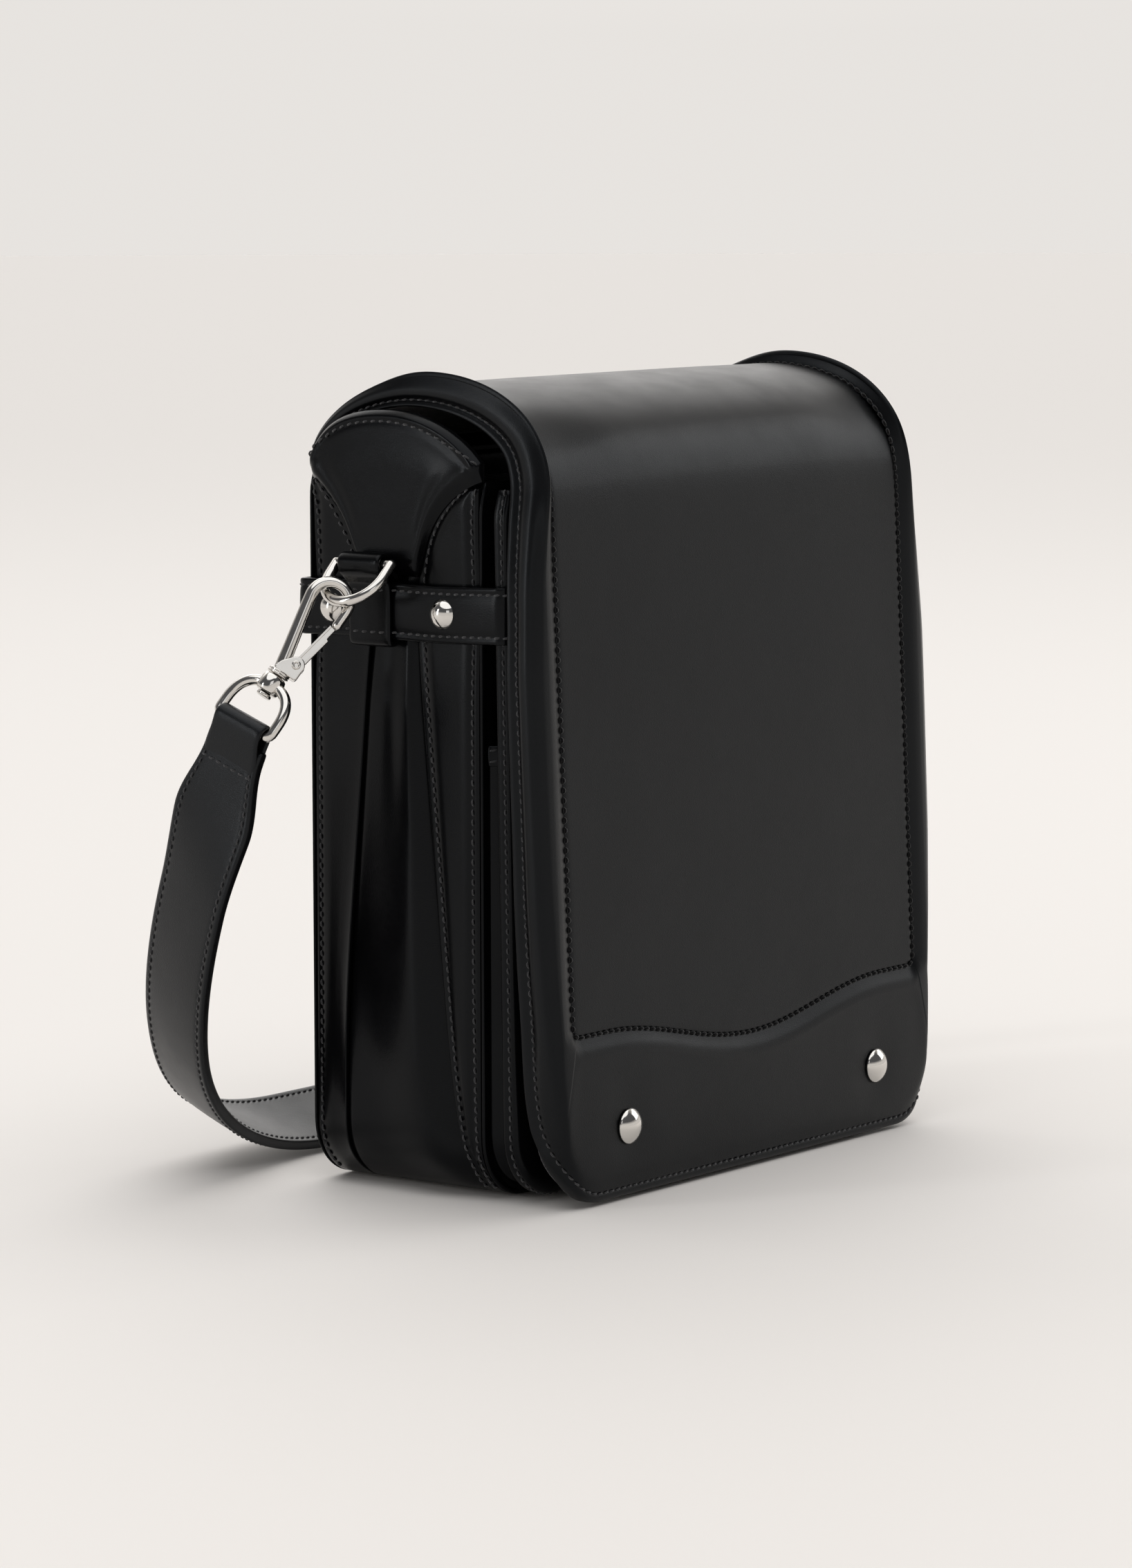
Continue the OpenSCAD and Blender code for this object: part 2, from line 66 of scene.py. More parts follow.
# CAMERA_TURN is the way the camera looks, from +Y towards +X. BACKDROP is the way to the bright backdrop.
CAMERA_TURN = math.radians(52.91)
CAMERA_DROP = math.radians(6.83)
CAMERA_ROLL = math.radians(-0.16)
CAMERA_AIM = Vector((-0.1926, -0.13285, 0.1597))
CAMERA_RANGE = 1.7486
LENS = 126.2
BACKDROP = Vector((0.70, 0.50, 0.51)).normalized()


def linked(name, data):
    obj = bpy.data.objects.new(name, data)
    bpy.context.collection.objects.link(obj)
    return obj


def add_camera():
    forward = Vector((
        math.sin(CAMERA_TURN) * math.cos(CAMERA_DROP),
        math.cos(CAMERA_TURN) * math.cos(CAMERA_DROP),
        -math.sin(CAMERA_DROP),
    ))
    data = bpy.data.cameras.new("camera")
    data.lens = LENS
    data.sensor_width = 36
    data.sensor_fit = "AUTO"
    camera = linked("camera", data)
    turn = forward.to_track_quat("-Z", "Y").to_matrix().to_4x4()
    camera.matrix_world = (
        Matrix.Translation(CAMERA_AIM - CAMERA_RANGE * forward) @ turn @ Matrix.Rotation(CAMERA_ROLL, 4, "Z")
    )
    bpy.context.scene.camera = camera


def area_light(name, at, aim, size, power, colour=(1, 1, 1)):
    data = bpy.data.lights.new(name, "AREA")
    data.shape = "RECTANGLE"
    data.size, data.size_y = size
    data.energy = power
    data.color = colour
    lamp = linked(name, data)
    lamp.location = at
    lamp.rotation_euler = (Vector(aim) - Vector(at)).to_track_quat("-Z", "Y").to_euler()


def add_studio():
    bm = bmesh.new()
    bmesh.ops.create_circle(bm, cap_ends=True, segments=96, radius=14)
    mesh = bpy.data.meshes.new("floor")
    bm.to_mesh(mesh)
    bm.free()
    floor = linked("floor", mesh)
    floor.location.z = min(cad_box[0][2], 0) - 0.0002
    pale = plain_material("floor_pale", (0.83, 0.80, 0.77), 0.75)
    floor.data.materials.append(pale)
    add_surround()
    sun = bpy.data.lights.new("overhead", "SUN")
    sun.energy = 1.53
    sun.angle = math.radians(75)
    lamp = linked("overhead", sun)
    lamp.rotation_euler = Vector((0.15, 0.15, -1)).to_track_quat("-Z", "Y").to_euler()
    area_light("left_strip", (-2.0, 1.0, 0.75), (-0.1, 0, 0.15), (0.35, 1.3), 7)
    area_light("left_front", (-1.77, -1.8, 1.12), (-0.15, 0, 0.17), (0.9, 0.7), 1.7)
    area_light("right_box", (2.2, -1.15, 1.25), (0, 0, 0.12), (1.6, 1.3), 12)
    area_light("back_top", (0.7, 2.2, 2.2), (0, 0, 0.25), (2.2, 1.0), 6)
    bpy.context.scene.view_settings.view_transform = "Standard"


def add_surround():
    """A pale band all round at floor height, a tall pale backdrop behind the bag, and a dimmer room above."""
    world = bpy.data.worlds.new("studio")
    bpy.context.scene.world = world
    world.use_nodes = True
    tree = world.node_tree
    background = tree.nodes["Background"]
    background.inputs["Strength"].default_value = 1
    place = tree.nodes.new("ShaderNodeTexCoord")
    split = tree.nodes.new("ShaderNodeSeparateXYZ")
    tree.links.new(place.outputs["Generated"], split.inputs[0])
    pale = (0.80, 0.772, 0.742)
    dim = (0.10, 0.10, 0.105)
    band = ramp_node(tree, split.outputs["Z"], pale, dim, 0.14, 0.30)
    toward = tree.nodes.new("ShaderNodeVectorMath")
    toward.operation = "DOT_PRODUCT"
    toward.inputs[1].default_value = BACKDROP
    tree.links.new(place.outputs["Generated"], toward.inputs[0])
    lobe = ramp_node(tree, toward.outputs["Value"], (0, 0, 0), pale, 0.28, 0.87)
    glow = lobe.color_ramp.elements.new(0.97)
    glow.color = (1.7, 1.66, 1.62, 1)
    both = tree.nodes.new("ShaderNodeMix")
    both.data_type = "RGBA"
    both.blend_type = "LIGHTEN"
    both.inputs["Factor"].default_value = 1
    tree.links.new(band.outputs["Color"], both.inputs["A"])
    tree.links.new(lobe.outputs["Color"], both.inputs["B"])
    tree.links.new(both.outputs["Result"], background.inputs["Color"])


# ---- materials ----------------------------------------------------------

def plain_material(name, colour, rough):
    material = bpy.data.materials.new(name)
    material.use_nodes = True
    shader = material.node_tree.nodes["Principled BSDF"]
    shader.inputs["Base Color"].default_value = (*colour, 1)
    shader.inputs["Roughness"].default_value = rough
    return material


def noise_node(tree, scale, detail=3.0, rough=0.5):
    place = tree.nodes.new("ShaderNodeTexCoord")
    noise = tree.nodes.new("ShaderNodeTexNoise")
    noise.inputs["Scale"].default_value = scale
    noise.inputs["Detail"].default_value = detail
    noise.inputs["Roughness"].default_value = rough
    tree.links.new(place.outputs["Object"], noise.inputs["Vector"])
    return noise


def ramp_node(tree, source, low, high, start=0.3, end=0.7):
    ramp = tree.nodes.new("ShaderNodeValToRGB")
    ramp.color_ramp.elements[0].position = start
    ramp.color_ramp.elements[0].color = (*low, 1)
    ramp.color_ramp.elements[1].position = end
    ramp.color_ramp.elements[1].color = (*high, 1)
    tree.links.new(source, ramp.inputs["Fac"])
    return ramp


def bump_node(tree, height, strength, distance, under=None):
    bump = tree.nodes.new("ShaderNodeBump")
    bump.inputs["Strength"].default_value = strength
    bump.inputs["Distance"].default_value = distance
    tree.links.new(height, bump.inputs["Height"])
    if under:
        tree.links.new(under.outputs["Normal"], bump.inputs["Normal"])
    return bump


def leather(name, low, high, rough, coat, gloss_level, grain=0.12):
    """Smooth calf: soft tone changes, pores and faint creases, a thin polish on top."""
    material = plain_material(name, low, rough[0])
    tree = material.node_tree
    shader = tree.nodes["Principled BSDF"]
    shader.inputs["Coat Weight"].default_value = coat
    shader.inputs["Coat Roughness"].default_value = 0.14
    shader.inputs["Specular IOR Level"].default_value = gloss_level
    shader.inputs["Specular Tint"].default_value = (0.86, 0.93, 1.0, 1)
    tone = noise_node(tree, 24, 4)
    colour = ramp_node(tree, tone.outputs["Fac"], low, high)
    tree.links.new(colour.outputs["Color"], shader.inputs["Base Color"])
    wear = noise_node(tree, 60, 5, 0.6)
    gloss = ramp_node(tree, wear.outputs["Fac"], (rough[0],) * 3, (rough[1],) * 3)
    tree.links.new(gloss.outputs["Color"], shader.inputs["Roughness"])
    cells = tree.nodes.new("ShaderNodeTexVoronoi")
    cells.feature = "DISTANCE_TO_EDGE"
    cells.inputs["Scale"].default_value = 1500
    place = tree.nodes.new("ShaderNodeTexCoord")
    tree.links.new(place.outputs["Object"], cells.inputs["Vector"])
    pores = bump_node(tree, cells.outputs["Distance"], grain, 0.0004)
    ripple = noise_node(tree, 42, 2)
    waves = bump_node(tree, ripple.outputs["Fac"], 0.10, 0.0012, pores)
    tree.links.new(waves.outputs["Normal"], shader.inputs["Normal"])
    return material


def metal(name, colour, rough):
    material = plain_material(name, colour, rough)
    tree = material.node_tree
    shader = tree.nodes["Principled BSDF"]
    shader.inputs["Metallic"].default_value = 1
    wear = noise_node(tree, 240, 4, 0.6)
    gloss = ramp_node(tree, wear.outputs["Fac"], (rough,) * 3, (rough + 0.07,) * 3)
    tree.links.new(gloss.outputs["Color"], shader.inputs["Roughness"])
    scratch = bump_node(tree, wear.outputs["Fac"], 0.03, 0.0002)
    tree.links.new(scratch.outputs["Normal"], shader.inputs["Normal"])
    return material


def cloth(name, low, high, scale):
    """A close plain weave."""
    material = plain_material(name, low, 0.85)
    tree = material.node_tree
    shader = tree.nodes["Principled BSDF"]
    shader.inputs["Sheen Weight"].default_value = 0.25
    place = tree.nodes.new("ShaderNodeTexCoord")
    bands = []
    for direction in ("X", "Z"):
        wave = tree.nodes.new("ShaderNodeTexWave")
        wave.bands_direction = direction
        wave.inputs["Scale"].default_value = scale
        wave.inputs["Distortion"].default_value = 0.6
        tree.links.new(place.outputs["Object"], wave.inputs["Vector"])
        bands.append(wave)
    mix = tree.nodes.new("ShaderNodeMath")
    mix.operation = "MULTIPLY"
    tree.links.new(bands[0].outputs["Fac"], mix.inputs[0])
    tree.links.new(bands[1].outputs["Fac"], mix.inputs[1])
    colour = ramp_node(tree, mix.outputs[0], low, high, 0.1, 0.9)
    tree.links.new(colour.outputs["Color"], shader.inputs["Base Color"])
    weave = bump_node(tree, mix.outputs[0], 0.4, 0.0004)
    tree.links.new(weave.outputs["Normal"], shader.inputs["Normal"])
    return material


FLAP_LEATHER = leather(
    "leather_flap", (0.0012, 0.0012, 0.0015), (0.0026, 0.0026, 0.0030), (0.30, 0.37), 0.04, 0.165)
SIDE_LEATHER = leather(
    "leather_side", (0.0010, 0.0010, 0.0013), (0.0022, 0.0022, 0.0026), (0.20, 0.27), 0.07, 0.10)
STRAP_LEATHER = leather(
    "leather_strap", (0.0022, 0.0022, 0.0026), (0.0042, 0.0042, 0.0048), (0.30, 0.38), 0.05, 0.22, 0.2)
THREAD = cloth("thread_black", (0.018, 0.018, 0.020), (0.050, 0.050, 0.055), 900)
# The flap seam's thread is the same black thread with painted shade. It is far darker and less glossy, so
# that its stitches read as the dark holes of the sewn valley.
SEAM_THREAD_PAINTED_SHADE = cloth("thread_seam_painted_shade", (0.0015, 0.0015, 0.002), (0.006, 0.006, 0.007), 900)
SEAM_THREAD_SHADE_GLOSS = 0.06
SEAM_THREAD_PAINTED_SHADE.node_tree.nodes["Principled BSDF"].inputs["Specular IOR Level"].default_value = SEAM_THREAD_SHADE_GLOSS
LINING = cloth("lining_weave", (0.012, 0.012, 0.014), (0.045, 0.045, 0.05), 520)
NICKEL = metal("nickel_polished", (0.66, 0.64, 0.61), 0.06)


# ---- mesh helpers -------------------------------------------------------

def unit(v):
    v = np.asarray(v, float)
    return v / np.maximum(np.linalg.norm(v, axis=-1, keepdims=True), 1e-9)


def stacked(*parts):
    """Points from their coordinates, where one number may stand for a whole column."""
    return np.stack(np.broadcast_arrays(*parts), axis=-1).astype(float)


def ease(a, b, x):
    t = np.clip((np.asarray(x, float) - a) / (b - a), 0, 1)
    return t * t * (3 - 2 * t)


def bezier(p, count):
    t = np.linspace(0, 1, count + 1)[:, None]
    p = np.asarray(p, float)
    return (1 - t) ** 3 * p[0] + 3 * t * (1 - t) ** 2 * p[1] + 3 * t * t * (1 - t) * p[2] + t ** 3 * p[3]


def lengths(path):
    steps = np.linalg.norm(np.diff(path, axis=0), axis=1)
    return np.concatenate([[0], np.cumsum(steps)])


def resample(path, step):
    path = np.asarray(path, float)
    s = lengths(path)
    count = max(2, int(round(s[-1] / step)) + 1)
    want = np.linspace(0, s[-1], count)
    return np.stack([np.interp(want, s, values) for values in path.T], axis=1)


def smooth_curve(points, per_segment):
    """A Catmull-Rom curve through points, with the same number of samples in every segment."""
    p = np.asarray(points, float)
    p = np.concatenate([[2 * p[0] - p[1]], p, [2 * p[-1] - p[-2]]])
    out = []
    for i in range(1, len(p) - 2):
        for k in range(per_segment):
            t = k / per_segment
            out.append(0.5 * (
                2 * p[i] + (p[i + 1] - p[i - 1]) * t
                + (2 * p[i - 1] - 5 * p[i] + 4 * p[i + 1] - p[i + 2]) * t * t
                + (3 * p[i] - p[i - 1] - 3 * p[i + 1] + p[i + 2]) * t ** 3
            ))
    out.append(p[-2])
    return np.array(out)


def arc(cx, cz, r, start, end, count=14):
    return [(cx + r * math.cos(a), cz + r * math.sin(a)) for a in np.radians(np.linspace(start, end, count))]


def heading(rows, closed=False):
    return np.roll(rows, -1, 0) - np.roll(rows, 1, 0) if closed else np.gradient(rows, axis=0)


def flat_normals(path, closed=False):
    """The unit normals of a flat path, to the right of its heading."""
    ahead = unit(heading(path, closed))
    return stacked(ahead[:, 1], -ahead[:, 0])


def grid_normals(grid, row, column, toward, closed=False):
    """A grid's unit normals, turned so that the one at row and column looks toward a direction."""
    normal = unit(np.cross(heading(grid, closed), np.gradient(grid, axis=1)))
    return -normal if np.dot(normal[row, column], toward) < 0 else normal


def mesh_object(name, verts, faces, material, rounds=0):
    mesh = bpy.data.meshes.new(name)
    mesh.from_pydata((np.asarray(verts) * MM).tolist(), [], faces)
    bm = bmesh.new()
    bm.from_mesh(mesh)
    bmesh.ops.remove_doubles(bm, verts=bm.verts, dist=1e-6)
    bmesh.ops.recalc_face_normals(bm, faces=bm.faces)
    bm.to_mesh(mesh)
    bm.free()
    mesh.polygons.foreach_set("use_smooth", [True] * len(mesh.polygons))
    obj = linked(name, mesh)
    mesh.materials.append(material)
    if rounds:
        modifier = obj.modifiers.new("round", "SUBSURF")
        modifier.levels = rounds
        modifier.render_levels = rounds
        bpy.context.view_layer.update()
        final = bpy.data.meshes.new_from_object(obj.evaluated_get(bpy.context.evaluated_depsgraph_get()))
        obj.modifiers.clear()
        obj.data = final
    return obj


def quad_faces(rows, columns, first, closed):
    faces = []
    for i in range(rows if closed else rows - 1):
        j = (i + 1) % rows
        for k in range(columns - 1):
            a = first + i * columns + k
            b = first + j * columns + k
            faces.append((a, b, b + 1, a + 1))
    return faces


def skin(name, outer, inner, material, rounds=1, closed=False, meets=False):
    """A closed solid between two grids of the same size. meets: the first column already closes on itself."""
    rows, columns = outer.shape[:2]
    count = rows * columns
    verts = np.concatenate([outer.reshape(-1, 3), inner.reshape(-1, 3)])
    faces = quad_faces(rows, columns, 0, closed)
    faces += [tuple(reversed(f)) for f in quad_faces(rows, columns, count, closed)]
    for i in range(rows if closed else rows - 1):
        j = (i + 1) % rows
        for k in (columns - 1,) if meets else (0, columns - 1):
            a, b = i * columns + k, j * columns + k
            faces.append((a, b, b + count, a + count))
    if not closed:
        for k in range(columns - 1):
            for i in (0, rows - 1):
                a = i * columns + k
                faces.append((a, a + 1, a + 1 + count, a + count))
    return mesh_object(name, verts, faces, material, rounds)


def joined(name, parts):
    """Several objects made into the first one."""
    bpy.ops.object.select_all(action="DESELECT")
    for part in parts:
        part.select_set(True)
    bpy.context.view_layer.objects.active = parts[0]
    bpy.ops.object.join()
    parts[0].name = name
    return parts[0]


def mirrored(grid):
    out = grid.copy()
    out[..., 0] = -out[..., 0]
    return out


def finished(obj, body, *replaced, slot=None):
    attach(obj, body)
    if replaced:
        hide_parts(*replaced)
    return obj


STITCH_PITCH = 3.4
STITCH_LENGTH = 2.5
STITCH_R = 0.36


def place_along(s, rows, at):
    return np.array([np.interp(at, s, values) for values in rows.T])


def stitch_verts(paths, pitch, slant, lift, gauge):
    """Each path is (points, normals). One short arched thread per stitch, with its ends in the leather."""
    verts, faces = [], []
    sides, rings = 6, 5
    for points, normals in paths:
        points = np.asarray(points, float)
        normals = np.broadcast_to(normals, points.shape)
        s = lengths(points)
        count = int(s[-1] / pitch)
        for k in range(count):
            mid = (k + 0.5) * s[-1] / count
            at = place_along(s, points, mid)
            up = unit(place_along(s, normals, mid))
            ahead = place_along(s, points, min(mid + 0.6, s[-1]))
            behind = place_along(s, points, max(mid - 0.6, 0))
            along = unit(ahead - behind)
            side = unit(np.cross(up, along))
            line = unit(along + slant * side)
            across = np.cross(up, line)
            first = len(verts)
            for r in range(rings):
                f = 2 * r / (rings - 1) - 1
                centre = at + line * f * STITCH_LENGTH / 2 + up * (lift + 0.34 * (1 - f * f) - 0.3 * f ** 4)
                radius = gauge * (1 - 0.45 * f ** 4)
                for q in range(sides):
                    a = 2 * math.pi * q / sides
                    verts.append(centre + radius * (math.cos(a) * across + math.sin(a) * up))
            for r in range(rings - 1):
                for q in range(sides):
                    a = first + r * sides + q
                    b = first + r * sides + (q + 1) % sides
                    faces.append((a, b, b + sides, a + sides))
            faces.append(tuple(first + q for q in reversed(range(sides))))
            faces.append(tuple(first + (rings - 1) * sides + q for q in range(sides)))
    return verts, faces


def stitches(name, paths, body, pitch=STITCH_PITCH, slant=0.16, lift=0.05,
             thread=THREAD, gauge=STITCH_R):
    verts, faces = stitch_verts(paths, pitch, slant, lift, gauge)
    mesh = bpy.data.meshes.new(name)
    mesh.from_pydata((np.asarray(verts) * MM).tolist(), [], faces)
    mesh.polygons.foreach_set("use_smooth", [True] * len(faces))
    mesh.materials.append(thread)
    obj = linked(name, mesh)
    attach(obj, body)
    return obj


# ---- flap ---------------------------------------------------------------

# The flap's path runs from the hinge over the top to FRONT_TOP (y, z), then straight down to FRONT_FOOT.
FRONT_TOP = (-60.3, 247)
FRONT_FOOT = (-71.8, 1.0)
FRONT_SLOPE = (FRONT_TOP[0] - FRONT_FOOT[0]) / (FRONT_TOP[1] - FRONT_FOOT[1])
PANEL_HALF = 104.5
SEAM_CORNER = 4.0
SEAM_Z = 59.0
SEAM_DIP = 11.0
FLAP_CORNER = 20.0


def softened(values, width):
    kernel = np.hanning(width + 2)[1:-1]
    padded = np.concatenate([np.full(width, values[0]), values, np.full(width, values[-1])])
    return np.convolve(padded, kernel / kernel.sum(), mode="same")[width:-width]


flap_path = resample(np.concatenate([
    bezier([(41, 256.4), (38, 266.5), (18, 280.3), (-6, 280.3)], 40),
    bezier([(-6, 280.3), (-31, 280.3), (-58.2, 271), FRONT_TOP], 50)[1:],
    [FRONT_FOOT],
]), 1.0)
raw_v = lengths(flap_path)
bend = (ease(18, 45, raw_v) * (1 - ease(135, 165, raw_v)))[:, None]
flap_path = (1 - bend) * flap_path + bend * stacked(*[softened(values, 41) for values in flap_path.T])
flap_v = lengths(flap_path)
FLAP_END = flap_v[-1]
flap_normal = unit(stacked(*[softened(values, 15) for values in flat_normals(flap_path).T]))


def on_flap(u, v, h):
    """A point by its place across the flap, along it from the hinge, and above the centre panel's face."""
    y = np.interp(v, flap_v, flap_path[:, 0]) + h * np.interp(v, flap_v, flap_normal[:, 0])
    z = np.interp(v, flap_v, flap_path[:, 1]) + h * np.interp(v, flap_v, flap_normal[:, 1])
    return stacked(u, y, z)


def v_near(y, z):
    return flap_v[np.argmin((flap_path[:, 0] - y) ** 2 + (flap_path[:, 1] - z) ** 2)]


def v_of_front(z):
    return FLAP_END - (z - FRONT_FOOT[1]) * math.hypot(1, FRONT_SLOPE)


def flap_table(top, front):
    """One smooth row along the path, from values at places (y, z) over the top and at heights in front."""
    down = [(FRONT_TOP[0] - (FRONT_TOP[1] - z) * FRONT_SLOPE, z, value) for z, value in front]
    rows = sorted((v_near(y, z), value) for y, z, value in top + down)
    return softened(np.interp(flap_v, [r[0] for r in rows], [r[1] for r in rows]), 21)


half_row = flap_table(
    [(41, 256.4, 108.5), (-6, 277, 109), (-50, 267, 109)],
    [(247, 111.5), (241, 113.6), (216, 117.8), (185, 120), (160, 120), (108, 119.4), (82, 118), (56, 115.7),
     (31, 112.5), (16, 110.9), (1, 110)])
crest_row = flap_table(
    [(41, 256.4, 0.8), (30, 269.5, 1.2), (20, 273, 1.6), (12, 275.3, 2.1), (5, 276.4, 3.1),
     (-6, 277, 4.5), (-22, 276.3, 4.9), (-34, 274.6, 4.9), (-46, 270, 4.6), (-56, 261, 4.1)],
    [(246, 3.5), (235, 2.6), (215, 1.8), (60, 1.5), (1, 1.8)])
depth_row = flap_table(
    [(41, 256.4, 2.4), (20, 273, 6.2), (-6, 277, 7.7), (-30, 275.5, 9.3), (-50, 267, 11.2), (-58, 258, 12.3)],
    [(247, 12.5), (225, 11.8), (201, 11.0), (166, 11.4), (119, 12.3), (72, 14), (36, 15.6), (16, 13.5),
     (1, 8.0)])


def flap_half(v):
    return np.interp(v, flap_v, half_row)


def outline_half(v, inset=0.0):
    """Half width with the round bottom corners."""
    r = FLAP_CORNER - inset
    left = np.clip(FLAP_END - inset - v, 0, r)
    return flap_half(v) - inset - r + np.sqrt(np.maximum(r * r - (r - left) ** 2, 0))


def seam_v(x):
    """Where the bottom seam is, at x across."""
    dip = SEAM_DIP * np.cos(np.radians(90 * np.minimum(np.abs(x) / 84, 1))) ** 2
    v = v_of_front(SEAM_Z - dip)
    inset = np.maximum(np.abs(x) - (PANEL_HALF - SEAM_CORNER), 0)
    return v - SEAM_CORNER + np.sqrt(np.maximum(SEAM_CORNER ** 2 - inset ** 2, 0))


def flap_stations(step):
    """Pairs of points, on the outline and on the seam, from the hinge's left end round to its right end."""
    corner_v = FLAP_END - FLAP_CORNER
    fan_v = v_of_front(SEAM_Z + 4)
    seam_corner_v = v_of_front(SEAM_Z) - SEAM_CORNER
    side = [((-flap_half(v), v), (-PANEL_HALF, min(v, seam_corner_v)), 0.0)
            for v in np.arange(0, fan_v, step)]
    low_half = float(flap_half(corner_v))
    fan = [(-flap_half(v), v) for v in np.arange(fan_v, corner_v, step)]
    for a in np.linspace(0, math.pi / 2, int(FLAP_CORNER * 1.57 / step)):
        fan.append((-(low_half - FLAP_CORNER) - FLAP_CORNER * math.cos(a),
                    corner_v + FLAP_CORNER * math.sin(a)))
    fanned = []
    start = side[-1][1][1]
    for i, place in enumerate(fan):
        t = (i + 1) / len(fan)
        if t < 0.25:
            seam = (-PANEL_HALF, start + (seam_corner_v - start) * t / 0.25)
        else:
            a = (t - 0.25) / 0.75 * math.pi / 2
            u = -(PANEL_HALF - SEAM_CORNER) - SEAM_CORNER * math.cos(a)
            seam = (u, seam_corner_v + SEAM_CORNER * math.sin(a))
        low = float(ease(corner_v - 7, FLAP_END - 0.5, place[1]))
        fanned.append((place, seam, low))
    count = int((low_half - FLAP_CORNER) / step)
    bottom = []
    for i in range(1, count + 1):
        t = i / count
        u = -(PANEL_HALF - SEAM_CORNER) * (1 - t)
        bottom.append(((-(low_half - FLAP_CORNER) * (1 - t), FLAP_END), (u, float(seam_v(u))), 1.0))
    left = side + fanned + bottom
    right = [((-o[0], o[1]), (-s[0], s[1]), low) for o, s, low in reversed(left[:-1])]
    return left + right


def border_section(width, depth, crest, low, pucker):
    """The border's face from the seam over its crest to the sewn edge, as (outwards, up) pairs."""
    g = min(1, depth / 8)
    top = min(7.0, 0.55 * width)
    shoulder = min(0.28 * width, 4)
    rest = width - shoulder - top
    start = [
        (0, -0.35), (0.5, -0.18), (0.30 * top + 0.3, 0.34 * crest), (0.68 * top, 0.80 * crest), (top, crest),
    ]
    side = start + [
        (top + 0.3 * rest, 0.99 * crest), (top + 0.7 * rest, 0.88 * crest), (width - shoulder, 0.60 * crest),
        (width - 0.12 * shoulder, -0.08 * depth), (width, -0.3 * depth),
        (width - 0.5 * g, -max(0.5 * depth, depth - 7.2)),
        (width - (1.9 + pucker) * g, -max(0.65 * depth, depth - 5.0)),
        (width - 1.25 * g, -max(0.78 * depth, depth - 3.5)),
        (width - 0.85 * g, -max(0.88 * depth, depth - 1.7)),
        (width - 1.0 * g, -(depth - 0.3)), (width - 1.9 * g, -depth),
    ]
    wide = max(width, 24)
    under = [
        (0, -0.35), (0.5, -0.18), (2.6, 0.30 * crest), (5.2, 0.85 * crest), (7.8, 1.05 * crest),
        (10.5, 0.95 * crest), (0.6 * wide, 0.70 * crest), (wide - 11, 0.55 * crest),
        (wide - 7.5, 0.42 * crest), (wide - 5.2, 0.25),
        (wide - 4.0, 0.0), (wide - 3.3, -0.35 - 0.6 * pucker), (wide - 2.5, -0.1),
        (wide - 1.0, -0.5), (wide - 0.1, -1.9), (wide - 0.3, -7.2),
    ]
    return (1 - low) * np.array(side, float) + low * np.array(under, float)


SECTION_STEPS = 2
EDGE_GROOVE = 11


# The left snap's cap sits at (-SNAP_X, SNAP_Y, SNAP_Z), in a shallow dimple of the leather.
SNAP_X, SNAP_Y, SNAP_Z = 76.0, -72.3, 25.4
SNAP_DIMPLE = 0.6


def build_flap():
    stations = flap_stations(1.7)
    snap_v = v_of_front(SNAP_Z)
    outer = []
    for i, (outline, seam, low) in enumerate(stations):
        o, s = np.array(outline), np.array(seam)
        width = float(np.linalg.norm(o - s))
        out = (o - s) / width
        v = o[1]
        depth = float(np.interp(v, flap_v, depth_row))
        crest = float(np.interp(s[1] if low > 0 else v, flap_v, crest_row))
        pucker = 0.22 if i % 2 else -0.22
        section = smooth_curve(border_section(width, depth, crest, low, pucker), SECTION_STEPS)
        place = s + section[:, :1] * out
        away = np.hypot(np.abs(place[:, 0]) - SNAP_X, place[:, 1] - snap_v)
        height = section[:, 1] - SNAP_DIMPLE * np.exp(-(away / 10.0) ** 2)
        outer.append(on_flap(place[:, 0], np.minimum(place[:, 1], FLAP_END), height))
    outer = np.array(outer)
    middle = len(outer) // 2
    normal = grid_normals(outer, middle, 8, (0, -1, 0))
    inner = outer - 1.7 * normal
    border = skin("flap_border_leather", outer, inner, FLAP_LEATHER, 1)
    finished(border, "flap", "flap_border", "flap_padding", slot="leather")
    groove = EDGE_GROOVE * SECTION_STEPS
    stitches("flap_edge_stitching", [(outer[:, groove], normal[:, groove])], "flap")
    seam_points = outer[:, 0]
    # These stitches use the thread with painted shade, so that they read as dark holes along the seam.
    stitches("flap_seam_stitching", [(seam_points, normal[:, 0] * 0.2 + unit(normal[:, 4]))], "flap",
             3.4, 0.0, 0.25, SEAM_THREAD_PAINTED_SHADE, 0.62)
    build_centre_panel()
    build_flap_lining()
    build_flap_hinge()


def build_centre_panel():
    us = np.concatenate([[-PANEL_HALF, -104.0, -103.2, -102, -100.4], np.linspace(-98, 98, 53),
                         [100.4, 102, 103.2, 104.0, PANEL_HALF]])
    ts = np.concatenate([np.linspace(0, 0.97, 80), [0.978, 0.985, 0.991, 0.996, 1]])
    grid = []
    for t in ts:
        v = t * seam_v(us)
        edge = np.minimum(PANEL_HALF - np.abs(us), (1 - t) * 270)
        z = np.interp(v, flap_v, flap_path[:, 1])
        y = np.interp(v, flap_v, flap_path[:, 0])
        h = -0.35 * (1 - ease(0, 1.8, edge)) + 0.3 * ease(0, 60, edge)
        bend = np.exp(-((y + 52) / 9) ** 2) * np.exp(-((z - 264) / 12) ** 2)
        h = h - 1.3 * bend * ease(58, 94, np.abs(us))
        grid.append(on_flap(us, v, h))
    outer = np.array(grid)
    normal = grid_normals(outer, 60, 30, (0, -1, 0))
    panel = skin("flap_centre_leather", outer, outer - 1.8 * normal, FLAP_LEATHER)
    finished(panel, "flap", "flap_centre_panel", slot="leather")


